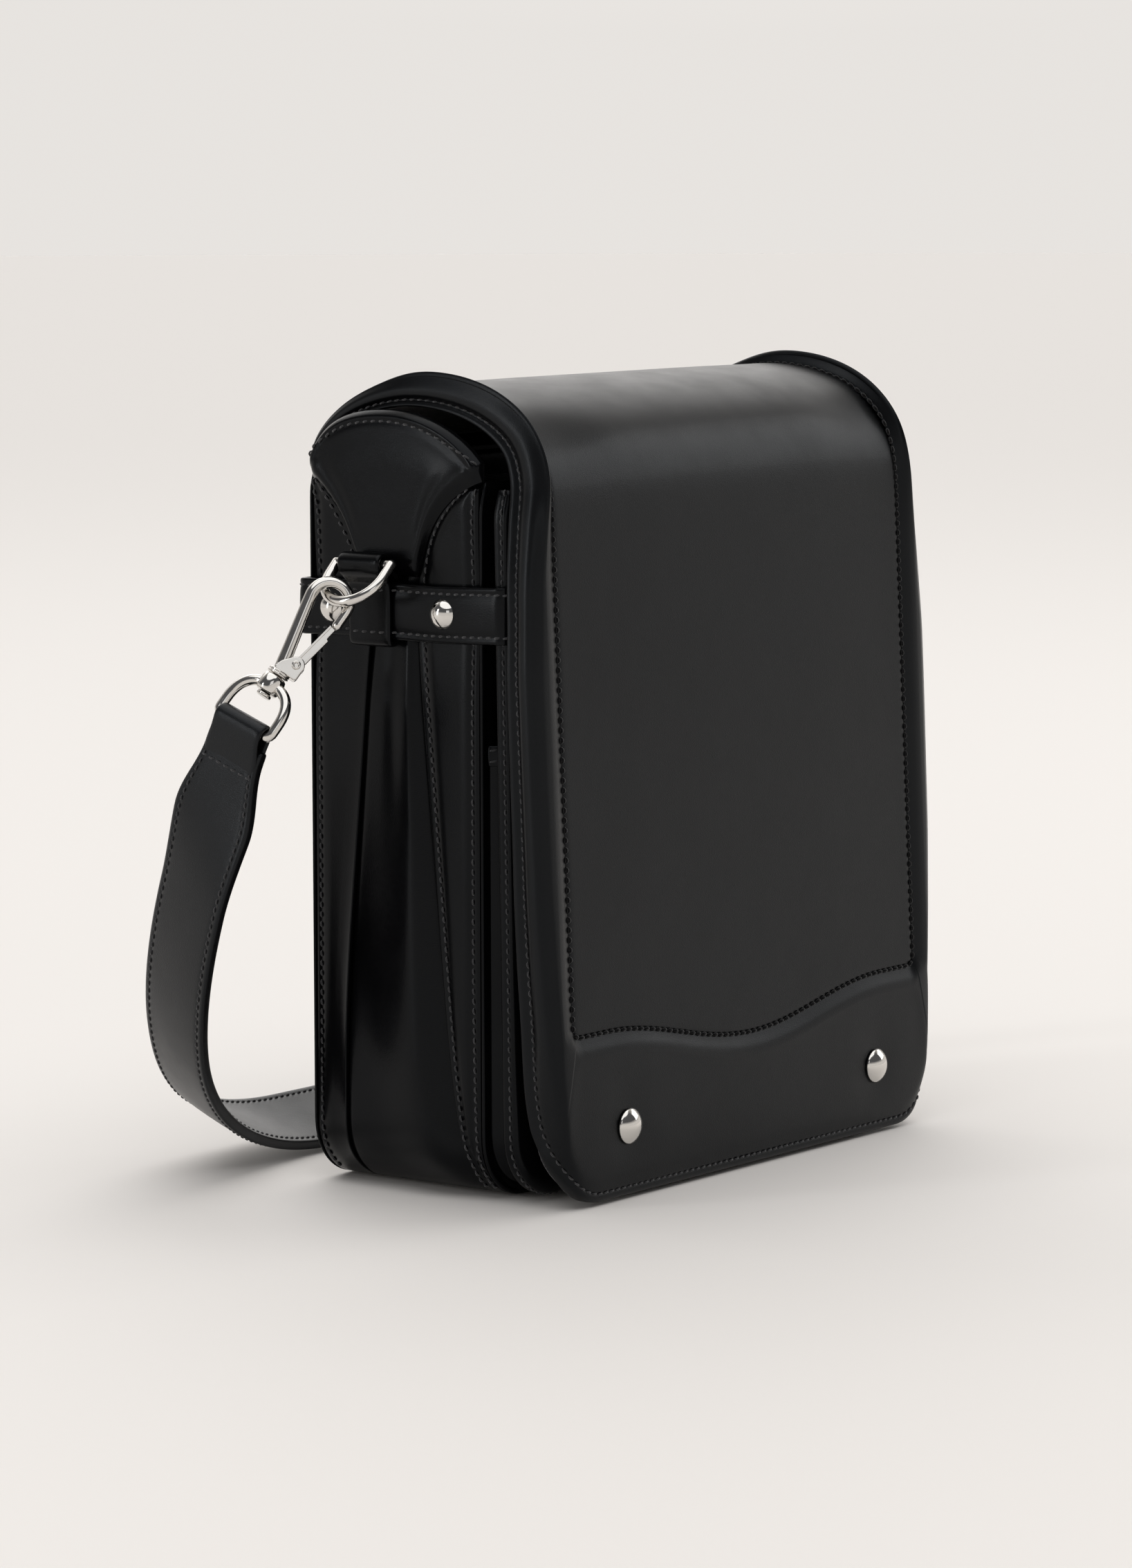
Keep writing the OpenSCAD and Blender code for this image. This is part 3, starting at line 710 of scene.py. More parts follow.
def build_flap_lining():
    vs = np.concatenate([[0, 1], np.linspace(5, FLAP_END - 6, 70), FLAP_END - np.array([4.5, 3.2, 2.2])])
    fs = np.concatenate([[-1, -0.99, -0.97], np.linspace(-0.94, 0.94, 40), [0.97, 0.99, 1]])
    rows = []
    for v in vs:
        inset = 2.0 * min(1, float(np.interp(v, flap_v, depth_row)) / 8)
        u = fs * float(outline_half(v, inset))
        d = -float(np.interp(v, flap_v, depth_row)) + 0.1
        quilt = 0.35 * np.cos(u / 9) * math.cos(v / 11)
        rows.append(on_flap(u, np.full(len(fs), v), d + 0.25 * quilt * (1 - np.abs(fs) ** 6)))
    outer = np.array(rows)
    normal = grid_normals(outer, 50, 23, (0, -1, 0))
    lining = skin("flap_lining_cloth", outer, outer + 1.2 * normal, LINING)
    finished(lining, "flap", "flap_lining", slot="lining")


LEATHER_T = 1.9
HINGE_Y = 41.2


def build_flap_hinge():
    """The leather strip sewn to the back panel, which runs up under the flap and follows its curve where the
    flap is shut.
    """
    zs = np.concatenate([[228, 228.6, 230], np.arange(233, 256, 2.5)])
    low = stacked(HINGE_Y, zs)
    under = (flap_v > 1) & (flap_v < 15)
    path = np.concatenate([low, (flap_path - 1.2 * flap_normal)[under][::2]])
    xs = np.concatenate([[-104, -103.4, -102], np.linspace(-98, 98, 30), [102, 103.4, 104]])
    outer = np.stack([stacked(xs, y, z) for y, z in path])
    normal = grid_normals(outer, 4, 5, (0, 1, 0))
    strip = skin("flap_hinge_leather", outer, outer - LEATHER_T * normal, SIDE_LEATHER)
    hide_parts("flap_anchor")
    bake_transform(strip)
    rows = [(stacked(xs, HINGE_Y, z), (0, 1, 0)) for z in (231.5, 243.5)]
    stitches("flap_hinge_stitching", rows, "body")


# ---- body ---------------------------------------------------------------

SIDE_X = 112.5
CORNER_R = 22.0
PANEL_TOP = 252.0
# Outlines on the side, as (y, z): the yoke's arch, and the two seams that part the three gusset bands.
ARCH = np.concatenate([
    bezier([(-37, 254), (-28, 265), (-12, 271.5), (4, 271.5)], 24),
    bezier([(4, 271.5), (19, 271.5), (33, 268), (38, 254)], 24)[1:],
])
FRONT_SEAM = np.concatenate([
    bezier([(-31, 12), (-22, 36), (-20, 90), (-9.5, 200)], 24),
    bezier([(-9.5, 200), (-9.5, 232), (-22, 242), (-37, 248)], 24)[1:],
])
BACK_SEAM = np.concatenate([
    bezier([(24, 12), (25, 70), (17, 130), (12.5, 200)], 24),
    bezier([(12.5, 200), (14, 228), (28, 240), (39, 249)], 24)[1:],
])


def seam_at(seam, z):
    return float(np.interp(z, seam[:, 1], seam[:, 0]))


def dent(distance, centre, width=0.9, deep=0.35):
    return -deep * np.exp(-((distance - centre) / width) ** 2)


def spread(y0, y1, middle=9):
    """Places from y0 to y1, close together near both edges."""
    near = np.array([0, 0.35, 1.2, 2.0, 2.7, 3.4, 4.4, 6.2])
    width = y1 - y0
    near = near * min(1, width / 16)
    inner = np.linspace(near[-1], width - near[-1], middle + 2)[1:-1]
    return y0 + np.concatenate([near, inner, width - near[::-1]])


def wall_stations(top, x_out=SIDE_X, radius=CORNER_R, base=0.0, step=3.0):
    """Down the left side, under the base and up the right: (x, z, outward x, outward z)."""
    out = [(-x_out, z, -1.0, 0.0)
           for z in np.linspace(top, base + radius, int((top - base - radius) / step) + 1)[:-1]]
    for a in np.linspace(0, math.pi / 2, 12):
        out.append((-x_out + radius * (1 - math.cos(a)), base + radius * (1 - math.sin(a)),
                    -math.cos(a), -math.sin(a)))
    for x in np.linspace(-x_out + radius, 0, 10)[1:]:
        out.append((x, base, 0.0, -1.0))
    return out + [(-x, z, -nx, nz) for x, z, nx, nz in reversed(out[:-1])]


def cinch(z):
    """How far the belt draws the sides in."""
    return -1.0 * math.exp(-((z - 203) / 20.0) ** 2)


def band(node, top, edges, relief):
    """One band of the wall. edges(z) is its (front, back); relief(ys, z) is its swelling."""
    outer, inner = [], []
    for x, z, nx, nz in wall_stations(top):
        height = z if abs(x) > SIDE_X - CORNER_R + 0.01 else 0.0
        ys = spread(*edges(height))
        n = relief(ys, height)
        keep = float(ease(0, 15, height))
        n = np.where(n > 0, n * keep, n * max(keep, 0.15)) + cinch(height)
        outer.append(stacked(x + nx * n, ys, z + nz * n))
        inner.append(stacked(x + nx * (n - LEATHER_T), ys, z + nz * (n - LEATHER_T)))
    outer = np.array(outer)
    obj = skin(f"{node}_leather", outer, np.array(inner), SIDE_LEATHER)
    finished(obj, "body", node, slot="leather")
    return outer, grid_normals(outer, 5, 8, (-1, 0, 0))


def back_edges(z):
    return seam_at(BACK_SEAM, z) - 1.6, 37.4


def front_edges(z):
    return -35.4, seam_at(FRONT_SEAM, z) + 1.4


def centre_edges(z):
    return seam_at(FRONT_SEAM, z) - 1.6, seam_at(BACK_SEAM, z) + 1.6


def back_relief(ys, z):
    seam = ys - ys[0]
    lip = 0.9 + 1.3 * math.exp(-((z - 70) / 50.0) ** 2)
    rear = ys[-1] - ys
    pillow = 0.7 * ease(0, 8, rear)
    return 0.2 + lip * np.exp(-seam / 5.0) + pillow + dent(rear, 3.0) - 0.5 * (1 - ease(0, 1.6, rear))


def front_relief(ys, z):
    front = ys - ys[0]
    seam = ys[-1] - ys
    pillow = 0.8 * ease(0, 7, front) * ease(0, 7, seam)
    return 0.35 + pillow + dent(front, 3.0) + dent(seam, 2.7) - 0.4 * (1 - ease(0, 1.2, front))


# The centre gusset's swelling and the width of its folded ridge, at heights up the side.
BULGE_Z = [0, 10, 24, 48, 85, 130, 170, 192, 222]
BULGE = [2.2, 3.6, 4.6, 5.0, 4.3, 3.2, 2.4, 1.2, 0.4]
RIDGE = [12, 13, 14, 14, 12, 9.5, 8, 7, 7]


def centre_relief(ys, z):
    seam = ys - ys[0]
    rear = ys[-1] - ys
    swell = float(np.interp(z, BULGE_Z, BULGE))
    ridge = float(np.interp(z, BULGE_Z, RIDGE))
    rise = -2.4 + (2.4 + swell) * ease(1.8, ridge, seam)
    fall = 1 - 0.6 * ease(ridge, ridge + 26, seam)
    fold = 0.5 * np.exp(-((seam - ridge * 1.9) / 3.0) ** 2) * math.exp(-((z - 165) / 30.0) ** 2)
    tuck = -1.7 * (1 - ease(1.0, 5.0, rear))
    return np.where(seam < ridge, rise, swell * fall) - fold + tuck - 0.3


def build_walls():
    back, back_n = band("back_gusset", 247.0, back_edges, back_relief)
    band("centre_gusset", 224.0, centre_edges, centre_relief)
    front, front_n = band("front_gusset", 246.0, front_edges, front_relief)
    rows = []
    for grid, normal, column in ((back, back_n, -5), (front, front_n, 4), (front, front_n, -5)):
        upright = grid[:, column, 2] > 3
        for half in (upright & (grid[:, 0, 0] < 0), upright & (grid[:, 0, 0] > 0)):
            rows.append((grid[half, column], normal[half, column]))
    tops = [i for i in range(len(back)) if back[i, 0, 2] > 216]
    for half in (tops[:len(tops) // 2], tops[len(tops) // 2:]):
        rows.append((back[half, 5], back_n[half, 5]))
    stitches("gusset_stitching", rows, "body")


def yoke_side(side, sign):
    """The padded yoke at the top of one side: its outer face, in rows from its lower edge to the arch."""
    ys = np.concatenate([[-36.8, -36.4, -35.4, -34], np.linspace(-32, 34, 34), [35.6, 36.8, 37.4, 37.7]])
    left = FRONT_SEAM[FRONT_SEAM[:, 1] > 214][::-1]
    right = BACK_SEAM[BACK_SEAM[:, 1] > 214]
    lower = np.concatenate([left, right])
    low = np.interp(ys, lower[:, 0], lower[:, 1])
    high = np.interp(ys, ARCH[:, 0], ARCH[:, 1])
    near = np.array([0, 0.4, 1.2, 2.2, 3.2, 4.0, 4.8, 6.2, 8.5])
    grid = []
    for y, a, b in zip(ys, low, high):
        room = b - a
        scale = min(1, room / 22)
        margin = near * scale
        middle = np.linspace(a + margin[-1], b - margin[-1], 12)[1:-1]
        zs = np.concatenate([a + margin, middle, (b - margin)[::-1]])
        slope = abs(float(np.interp(y, (ys[:-1] + ys[1:]) / 2, np.diff(high) / np.diff(ys))))
        top = (b - zs) / math.hypot(1, min(slope, 1.4))
        bottom = np.minimum(zs - a, 30)
        flank = min(y + 36.8, 37.7 - y)
        edge = np.minimum(top, flank + 0.4)
        n = 3.1 * np.sqrt(np.clip(ease(0, 2.6, edge), 0, 1)) * ease(0, 7.0, bottom + 2.0)
        fullness = 0.9 * ease(6, 18, top) * ease(3, 18, bottom) - dent(bottom, 6.0, 2.6, 0.45)
        n += fullness * ease(0, 4.0, flank) + dent(top, 4.0, 1.0, 0.6)
        grid.append(stacked(-SIDE_X - n, y, zs))
    grid = np.array(grid)
    inner = grid.copy()
    inner[..., 0] = -SIDE_X + LEATHER_T
    if sign > 0:
        grid, inner = mirrored(grid), mirrored(inner)
    yoke = skin(f"{side}_yoke_leather", grid, inner, SIDE_LEATHER)
    finished(yoke, "body", f"{side}_yoke", f"{side}_yoke_pad", slot="leather")
    normal = grid_normals(grid, 20, 12, (sign, 0, 0))
    stitches(f"{side}_yoke_stitching", [(grid[1:-1, -6], normal[1:-1, -6])], "body")


def plate(node, half, base, top, face_y, facing, profile):
    """A panel with round bottom corners. profile is (distance from the edge, depth) down to its edge."""
    outer = []
    for x, z, _, _ in wall_stations(top, half, CORNER_R, base, 4.0):
        spine = min(max(z, base + 60), top)
        centre = np.array([0.0, spine])
        edge = np.array([x - math.copysign(2.6 * float(ease(top - 9, top, z)), x), z])
        reach = float(np.linalg.norm(edge - centre))
        toward = (centre - edge) / reach
        row = []
        for f in (1, 0.8, 0.6, 0.4, 0.25, 0.14):
            place = edge + toward * max(reach * f, 9.5)
            row.append((place, 0.0))
        for distance, depth in profile:
            row.append((edge + toward * distance, depth))
        outer.append([(p[0], face_y(p[1]) - facing * depth, p[1]) for p, depth in row])
    outer = np.array(outer)
    normal = grid_normals(outer, 2, 2, (0, facing, 0))
    inner = outer - LEATHER_T * normal
    inner[:, 0] = outer[:, 0] - LEATHER_T * np.array([0.0, facing, 0.0])
    obj = skin(f"{node}_leather", outer, inner, SIDE_LEATHER, meets=True)
    finished(obj, "body", node, slot="leather")
    return outer, normal


def pocket_y(z):
    return -51.2 + 3.6 * z / 246


def build_panels():
    edge = [
        (7, 0), (4.6, 0.0), (3.6, 0.25), (2.9, 0.35), (2.2, 0.2), (1.2, 0.05), (0.5, 0.2), (0.1, 0.7),
        (0, 1.2),
    ]
    back, back_n = plate("back_panel", SIDE_X + 0.4, 0.0, PANEL_TOP, lambda z: 39.0, 1, edge)
    plate("front_panel", SIDE_X + 0.3, 0.0, PANEL_TOP - 4, lambda z: -37.0, -1, edge)
    stitches("back_panel_stitching", [(back[:, -6], back_n[:, -6])], "body")
    skirt = [
        (8, 0), (5, 0.05), (3, 0.3), (1.4, 0.8), (0.5, 1.6), (0.1, 2.4), (0.45, 3.3), (0.1, 4.2), (0, 5.4),
        (0, 6.5),
    ]
    pocket, pocket_n = plate("pocket_panel", SIDE_X - 0.5, 1.5, 246.0, pocket_y, -1, skirt)
    stitches("pocket_stitching", [(pocket[:, -4], pocket_n[:, -4])], "body")
    build_pocket_gusset()
    build_body_lining()


POCKET_X = 109.8
POCKET_BACK = -37.4


def pocket_span(z, share):
    """Places from the pocket panel back to the body, at one height."""
    start = pocket_y(z) + 4.5
    return start + (POCKET_BACK - start) * share


def build_pocket_gusset():
    outer = []
    share = np.array([0, 0.1, 0.25, 0.4, 0.5, 0.6, 0.75, 0.9, 1])
    depth = 2.6 * np.sin(math.pi * share) ** 2
    for x, z, nx, nz in wall_stations(157.0, POCKET_X, 19.8, 3.7, 3.0):
        y0 = pocket_y(z) + 3.0
        ys = y0 + (POCKET_BACK + 0.2 - y0) * share
        outer.append(stacked(x - nx * depth, ys, z - nz * depth))
    outer = np.array(outer)
    normal = grid_normals(outer, 3, 0, (-1, 0, 0))
    gusset = skin("pocket_gusset_leather", outer, outer - 1.5 * normal, SIDE_LEATHER)
    finished(gusset, "body", "pocket_gusset", slot="leather")
    hems = []
    share = np.linspace(0, 1, 9)
    for sign in (-1, 1):
        rows = []
        for z in (158.2, 157.6, 156, 154.5, 153, 151.4, 151.0):
            swell = 0.5 * math.sin(math.pi * (158.2 - z) / 7.2)
            depth = 2.2 * np.sin(math.pi * share) ** 2 - 0.7 - swell
            rows.append(stacked(sign * (POCKET_X - depth), pocket_span(z, share), z))
        grid = np.array(rows)
        inner = grid.copy()
        inner[..., 0] -= sign * 1.4
        hems.append(skin("pocket_hem", grid, inner, SIDE_LEATHER))
    hem = joined("pocket_hem_leather", hems)
    finished(hem, "body", "pocket_hems", slot="leather")
    share = np.linspace(0.05, 0.95, 9)
    depth = 2.2 * np.sin(math.pi * share) ** 2 - 1.2
    rows = [(stacked(sign * (POCKET_X + 0.1 - depth), pocket_span(z, share), z), (sign, 0, 0))
            for sign in (-1, 1) for z in (156.6, 152.8)]
    stitches("pocket_hem_stitching", rows, "body", 2.6)


def rounded_loop(x, y0, y1, r, step, per_corner=7):
    loop = []
    corners = ((x - r, y1 - r, 0), (r - x, y1 - r, 90), (r - x, y0 + r, 180), (x - r, y0 + r, 270))
    for cx, cy, start in corners:
        loop += arc(cx, cy, r, start, start + 90, per_corner)
    return resample(loop + [loop[0]], step)[:-1]


def build_body_lining():
    """The lining is one open box of cloth, with a bound top edge. It covers the boards."""
    floor, top, r = 4.4, 243.0, 12.0
    loop = rounded_loop(109.6, -33.0, 35.0, r, 6.0, 9)
    centre = loop.mean(axis=0)
    inward = unit(centre - loop)
    rows = []
    for z in np.concatenate([[top, top - 0.6, top - 3, top - 7], np.linspace(top - 14, floor + 16, 26)]):
        sag = 0.9 * np.sin(loop[:, 0] / 17 + z / 23) * math.sin(math.pi * (z - floor) / (top - floor))
        place = loop + inward * np.maximum(sag, -0.2)[:, None]
        rows.append(stacked(*place.T, z))
    for a in np.radians(np.linspace(12, 90, 6)):
        place = loop + inward * r * (1 - math.cos(a))
        rows.append(stacked(*place.T, floor + r * (1 - math.sin(a))))
    foot = place
    for f in (0.75, 0.5, 0.25, 0.0):
        place = centre + (foot - centre) * f
        rows.append(stacked(*place.T, floor))
    outer = np.array(rows).transpose(1, 0, 2)
    inner = outer - 0.8 * grid_normals(outer, 3, 6, (0, outer[3, 6, 1], 0), True)
    inner[:, -1] = outer[:, -1] + np.array([0, 0, 0.8])
    lining = skin("body_lining_cloth", outer, inner, LINING, rounds=0, closed=True)
    finished(lining, "body", "body_lining", "back_board", "front_board", "base_board", slot="lining")


# ---- belt and tabs ------------------------------------------------------

BELT_X = 117.3
BELT_Z = 193.0
BELT_MID = 9.75


def build_belt():
    loop = rounded_loop(BELT_X, -50.2, 41.7, 4.0, 1.6)
    out = flat_normals(loop, True)
    front = ease(-46.5, -49, loop[:, 1])
    thick = 2.2 - 0.7 * front
    zs = np.array([0, 0.15, 0.6, 1.5, 2.5, 3.5, 5.5, 9.75, 14, 16, 17, 18, 18.9, 19.35, 19.5])
    puff = np.array([-0.9, -0.35, -0.05, 0, -0.4, 0, 0.15, 0.25, 0.15, 0, -0.4, 0, -0.05, -0.35, -0.9])
    ripple = 0.25 * np.sin(loop[:, 1] / 7.0) * (np.abs(loop[:, 0]) > 115)
    outer, inner = [], []
    for i, (here, away) in enumerate(zip(loop, out)):
        face = puff * (1 - 0.5 * front[i]) + ripple[i]
        back = 0.35 * (np.abs(zs - BELT_MID) > 9.5) - thick[i]
        z = BELT_Z + zs + 0.35 * math.sin(here[1] / 11.0)
        for rows, reach in ((outer, face), (inner, back)):
            rows.append(stacked(here[0] + away[0] * reach, here[1] + away[1] * reach, z))
    outer, inner = np.array(outer), np.array(inner)
    belt = skin("waist_belt_leather", outer, inner, SIDE_LEATHER, closed=True)
    finished(belt, "body", "waist_belt", slot="leather")
    normal = stacked(*out.T, 0)
    round_again = np.arange(len(loop) + 1) % len(loop)
    rows = [(outer[round_again, k], normal[round_again]) for k in (4, 10)]
    stitches("belt_stitching", rows, "body")


def ribbon(name, path, y0, y1, thick):
    """A strap of leather that follows path in X and Z, from y0 to y1."""
    near = np.array([0, 0.2, 0.8, 2])
    ys = np.concatenate([y0 + near, np.linspace(y0 + 4, y1 - 4, 6), y1 - near[::-1]])
    drop = np.array([0.8, 0.35, 0.08] + [0] * (len(ys) - 6) + [0.08, 0.35, 0.8])
    outer, inner = [], []
    for p, n in zip(path, flat_normals(path)):
        for rows, side in ((outer, -1), (inner, 1)):
            reach = side * (thick / 2 - drop * 0.9)
            rows.append(stacked(p[0] + n[0] * reach, ys, p[1] + n[1] * reach))
    return skin(name, np.array(outer), np.array(inner), SIDE_LEATHER)


def build_tab(side, sign):
    bar_x, bar_z, round_r = -122.0, 219.0, 3.1
    path = [(-114.2, 213.4), (-114.6, 214.6), (-116.6, 215.6)] + arc(bar_x, bar_z, round_r, -40, 170, 16)
    path += [(-124.2, 216.4), (-121.6, 214.2), (-119.4, 212.2), (-118.7, 208), (-118.6, 200), (-118.6, 194)]
    path += [(-118.4, 192.0), (-117.4, 191.3), (-116, 191.2), (-114.8, 191.5), (-114.2, 193)]
    path += [(-114.0, 200), (-114.0, 208)]
    tab = ribbon("ring_tab", resample(smooth_curve(path, 3), 1.0), -2.0, 16.0, 2.0)
    if sign > 0:
        tab.data.transform(Matrix.Diagonal((-1, 1, 1, 1)))
        tab.data.flip_normals()
    tab.name = f"{side}_ring_tab_leather"
    finished(tab, "body", f"{side}_ring_tab", slot="leather")
    ys = np.linspace(-0.5, 14.5, 9)
    rows = [(stacked(sign * 119.6, ys, z), (sign, 0, 0)) for z in (BELT_Z + 2.5, BELT_Z + 17)]
    stitches(f"{side}_ring_tab_stitching", rows, "body")


# ---- strap --------------------------------------------------------------

# On the left side: where the hook's eye turns round its D-ring, and the bar of the strap's ring as (x, drop).
STRAP_LEAN = math.radians(20.5)
EYE = np.array([-133.689, 11.966, 207.712])
BAR = (-162.17, 44.70)
STRAP_REACH = (EYE[2] - 17.5 * math.sin(STRAP_LEAN)) / math.cos(STRAP_LEAN)
STRAP_W, STRAP_T = 35.0, 4.0
IN_WIDTH = np.array([0, math.cos(STRAP_LEAN), math.sin(STRAP_LEAN)])
IN_DROP = np.array([0, math.sin(STRAP_LEAN), -math.cos(STRAP_LEAN)])


def in_strap(x, drop, across):
    """A point by its place to the right, down the strap's lean from the hooks' eyes, and across its width."""
    place = stacked(x, drop, across)
    return np.array([0, EYE[1], EYE[2]]) + place @ np.array([[1.0, 0, 0], IN_DROP, IN_WIDTH])


def strap_path():
    """The strap's outer face as (x, drop), from the left ring to the right one."""
    left = bezier([
        (BAR[0] - 2.0, BAR[1] + 5.3), (BAR[0] - 9.8, BAR[1] + 85),
        (BAR[0] - 0.8, STRAP_REACH), (-60, STRAP_REACH),
    ], 90)
    return resample(np.concatenate([left, [(0, STRAP_REACH)], mirrored(left[::-1])]), 2.0)


def whole_section(shares, sinks):
    """A strap's section from its middle out to one edge, made whole."""
    shares, sinks = np.array(shares), np.array(sinks)
    return np.concatenate([-shares[:0:-1], shares]), np.concatenate([sinks[:0:-1], sinks])


def build_strap():
    path = strap_path()
    s = lengths(path)
    inward = flat_normals(path)
    end = np.minimum(s, s[-1] - s)
    half = 12.2 + (STRAP_W / 2 - 12.2) * ease(5, 32, end)
    share, sink = whole_section(
        [0, 0.45, 0.72, 0.80, 0.84, 0.88, 0.94, 0.985, 1], [-0.15, -0.12, -0.05, 0, 0.3, 0, 0.02, 0.3, 0.9])
    twist = 4.0 * ease(18, 60, end) * (1 - ease(120, 195, end))
    outer, inner = [], []
    for i, (x, drop) in enumerate(path):
        across = share * half[i]
        cup = 0.5 * share ** 2 * float(ease(20, 60, end[i]))
        shift = -np.sign(x) * twist[i] * share
        for rows, depth in ((outer, sink + cup), (inner, STRAP_T - sink * 0.8 + cup)):
            rows.append(in_strap(x + shift + inward[i, 0] * depth, drop + inward[i, 1] * depth, across))
    outer, inner = np.array(outer), np.array(inner)
    strap = skin("shoulder_strap_leather", outer, inner, STRAP_LEATHER)
    loops = [strap_end(sign) for sign in (-1, 1)]
    strap = joined("shoulder_strap_leather", [strap] + loops)
    finished(strap, "strap", "strap_outer", "strap_inner", slot="leather")
    normal = unit(outer - inner)
    rows = [(face[4:-4, k], turn * normal[4:-4, k])
            for face, turn in ((outer, 1), (inner, -1)) for k in (4, 12)]
    for i in (5, len(path) - 6):
        rows.append((outer[i, 2:-2], normal[i, 2:-2]))
        rows.append((inner[i, 2:-2], -normal[i, 2:-2]))
    stitches("strap_stitching", rows, "strap", 3.2)


def strap_end(sign):
    """The loop of leather round the bar of the strap's ring."""
    loop = [(BAR[0] - 1.3, BAR[1] + 17), (BAR[0] - 2.4, BAR[1] + 8), (BAR[0] - 2.9, BAR[1] + 3)]
    loop += arc(*BAR, 3.0, -180, 0)
    loop += [(BAR[0] + 2.7, BAR[1] + 3), (BAR[0] + 1.2, BAR[1] + 7.5), (BAR[0] + 0.4, BAR[1] + 16)]
    path = resample(smooth_curve(loop, 3), 1.0)
    share, sink = whole_section([0, 0.4, 0.8, 0.9, 0.97, 1], [0, 0, 0, 0.03, 0.25, 0.7])
    outer, inner = [], []
    for p, n in zip(path, flat_normals(path)):
        across = share * (10.6 + 1.3 * float(ease(2, 12, p[1] - BAR[1])))
        for rows, reach in ((outer, 1.0 - sink), (inner, -1.0 + sink)):
            rows.append(in_strap(p[0] + n[0] * reach, p[1] + n[1] * reach, across))
    outer, inner = np.array(outer), np.array(inner)
    if sign > 0:
        outer, inner = mirrored(outer), mirrored(inner)
    return skin("strap_end", outer, inner, STRAP_LEATHER)


# ---- metal --------------------------------------------------------------

# SWIVEL_LINE has its origin in the left hook's eye and its Z axis up the swivel; HOOK_FRAME is that
# frame turned about the swivel, with the hook's flat in its XZ plane and the gate's pin at PIN_X, PIN_Z.
HOOK_LEAN = math.radians(32.5)
HOOK_TURN = math.radians(-58)
SWIVEL_LINE = (
    Matrix.Translation((0, EYE[1], EYE[2])) @ Matrix.Rotation(STRAP_LEAN, 4, "X")
    @ Matrix.Translation((EYE[0], 0, 0)) @ Matrix.Rotation(HOOK_LEAN, 4, "Y")
)
HOOK_FRAME = SWIVEL_LINE @ Matrix.Rotation(HOOK_TURN, 4, "Z")
PIN_X, PIN_Z = 3.4, -26.2


def placed(matrix, points, sign):
    """Points carried by a matrix made for the left side, and mirrored for the right."""
    m = np.array(matrix)
    out = np.asarray(points, float) @ m[:3, :3].T + m[:3, 3]
    return mirrored(out) if sign > 0 else out


def lathe(profile, matrix, sign, sides=36):
    """A turned piece: profile is (radius, height) up the local Z axis."""
    profile = np.asarray(profile, float)
    angles = np.linspace(0, 2 * math.pi, sides, endpoint=False)
    grid = np.stack([stacked(r * np.cos(angles), r * np.sin(angles), z) for r, z in profile], axis=1)
    verts = placed(matrix, grid.reshape(-1, 3), sign)
    return mesh_object("turned", verts, quad_faces(sides, len(profile), 0, True), NICKEL)


def tube(path, radii, across, matrix, sign, loop=False, sides=18):
    """Round wire along a flat path. across is the path's normal. Open ends are domed."""
    path = np.asarray(path, float)
    radii = np.broadcast_to(np.asarray(radii, float), len(path))
    ahead = unit(heading(path, loop))
    if not loop:
        tilt = np.radians([90, 70, 48, 24])
        first = path[0] - ahead[0] * radii[0] * np.sin(tilt)[:, None]
        last = path[-1] + ahead[-1] * radii[-1] * np.sin(tilt[::-1])[:, None]
        path = np.concatenate([first, path, last])
        ahead = np.concatenate([np.tile(ahead[0], (4, 1)), ahead, np.tile(ahead[-1], (4, 1))])
        radii = np.concatenate([radii[0] * np.cos(tilt), radii, radii[-1] * np.cos(tilt[::-1])])
    across = np.asarray(across, float)
    other = np.cross(ahead, across)
    angles = np.linspace(0, 2 * math.pi, sides, endpoint=False)
    rings = [c + r * (np.cos(angles)[:, None] * across + np.sin(angles)[:, None] * o)
             for c, r, o in zip(path, radii, other)]
    if loop:
        rings.append(rings[0])
    grid = np.array(rings).transpose(1, 0, 2)
    verts = placed(matrix, grid.reshape(-1, 3), sign)
    return mesh_object("wire", verts, quad_faces(sides, grid.shape[1], 0, True), NICKEL)


def cast_plate(outline, y0, y1, bevel, matrix, sign):
    """A plate with rounded rims, from an outline in the local XZ plane and its two faces in Y."""
    outline = resample(outline + [outline[0]], 0.35)[:-1]
    out = flat_normals(outline, True)
    if np.sum(out * (outline - outline.mean(axis=0))) < 0:
        out = -out
    near = [(y0 + bevel * (1 - math.cos(a)), outline - out * bevel * (1 - math.sin(a)))
            for a in np.radians([0, 30, 60, 90])]
    far = [(y1 + y0 - y, ring) for y, ring in reversed(near)]
    rows = near + far
    grid = np.stack([stacked(ring[:, 0], y, ring[:, 1]) for y, ring in rows], axis=1)
    count, columns = grid.shape[:2]
    faces = quad_faces(count, columns, 0, True)
    faces.append(tuple(i * columns for i in range(count)))
    faces.append(tuple(i * columns + columns - 1 for i in reversed(range(count))))
    obj = mesh_object("plate", placed(matrix, grid.reshape(-1, 3), sign), faces, NICKEL)
    obj.data.polygons[-1].use_smooth = False
    obj.data.polygons[-2].use_smooth = False
    return obj


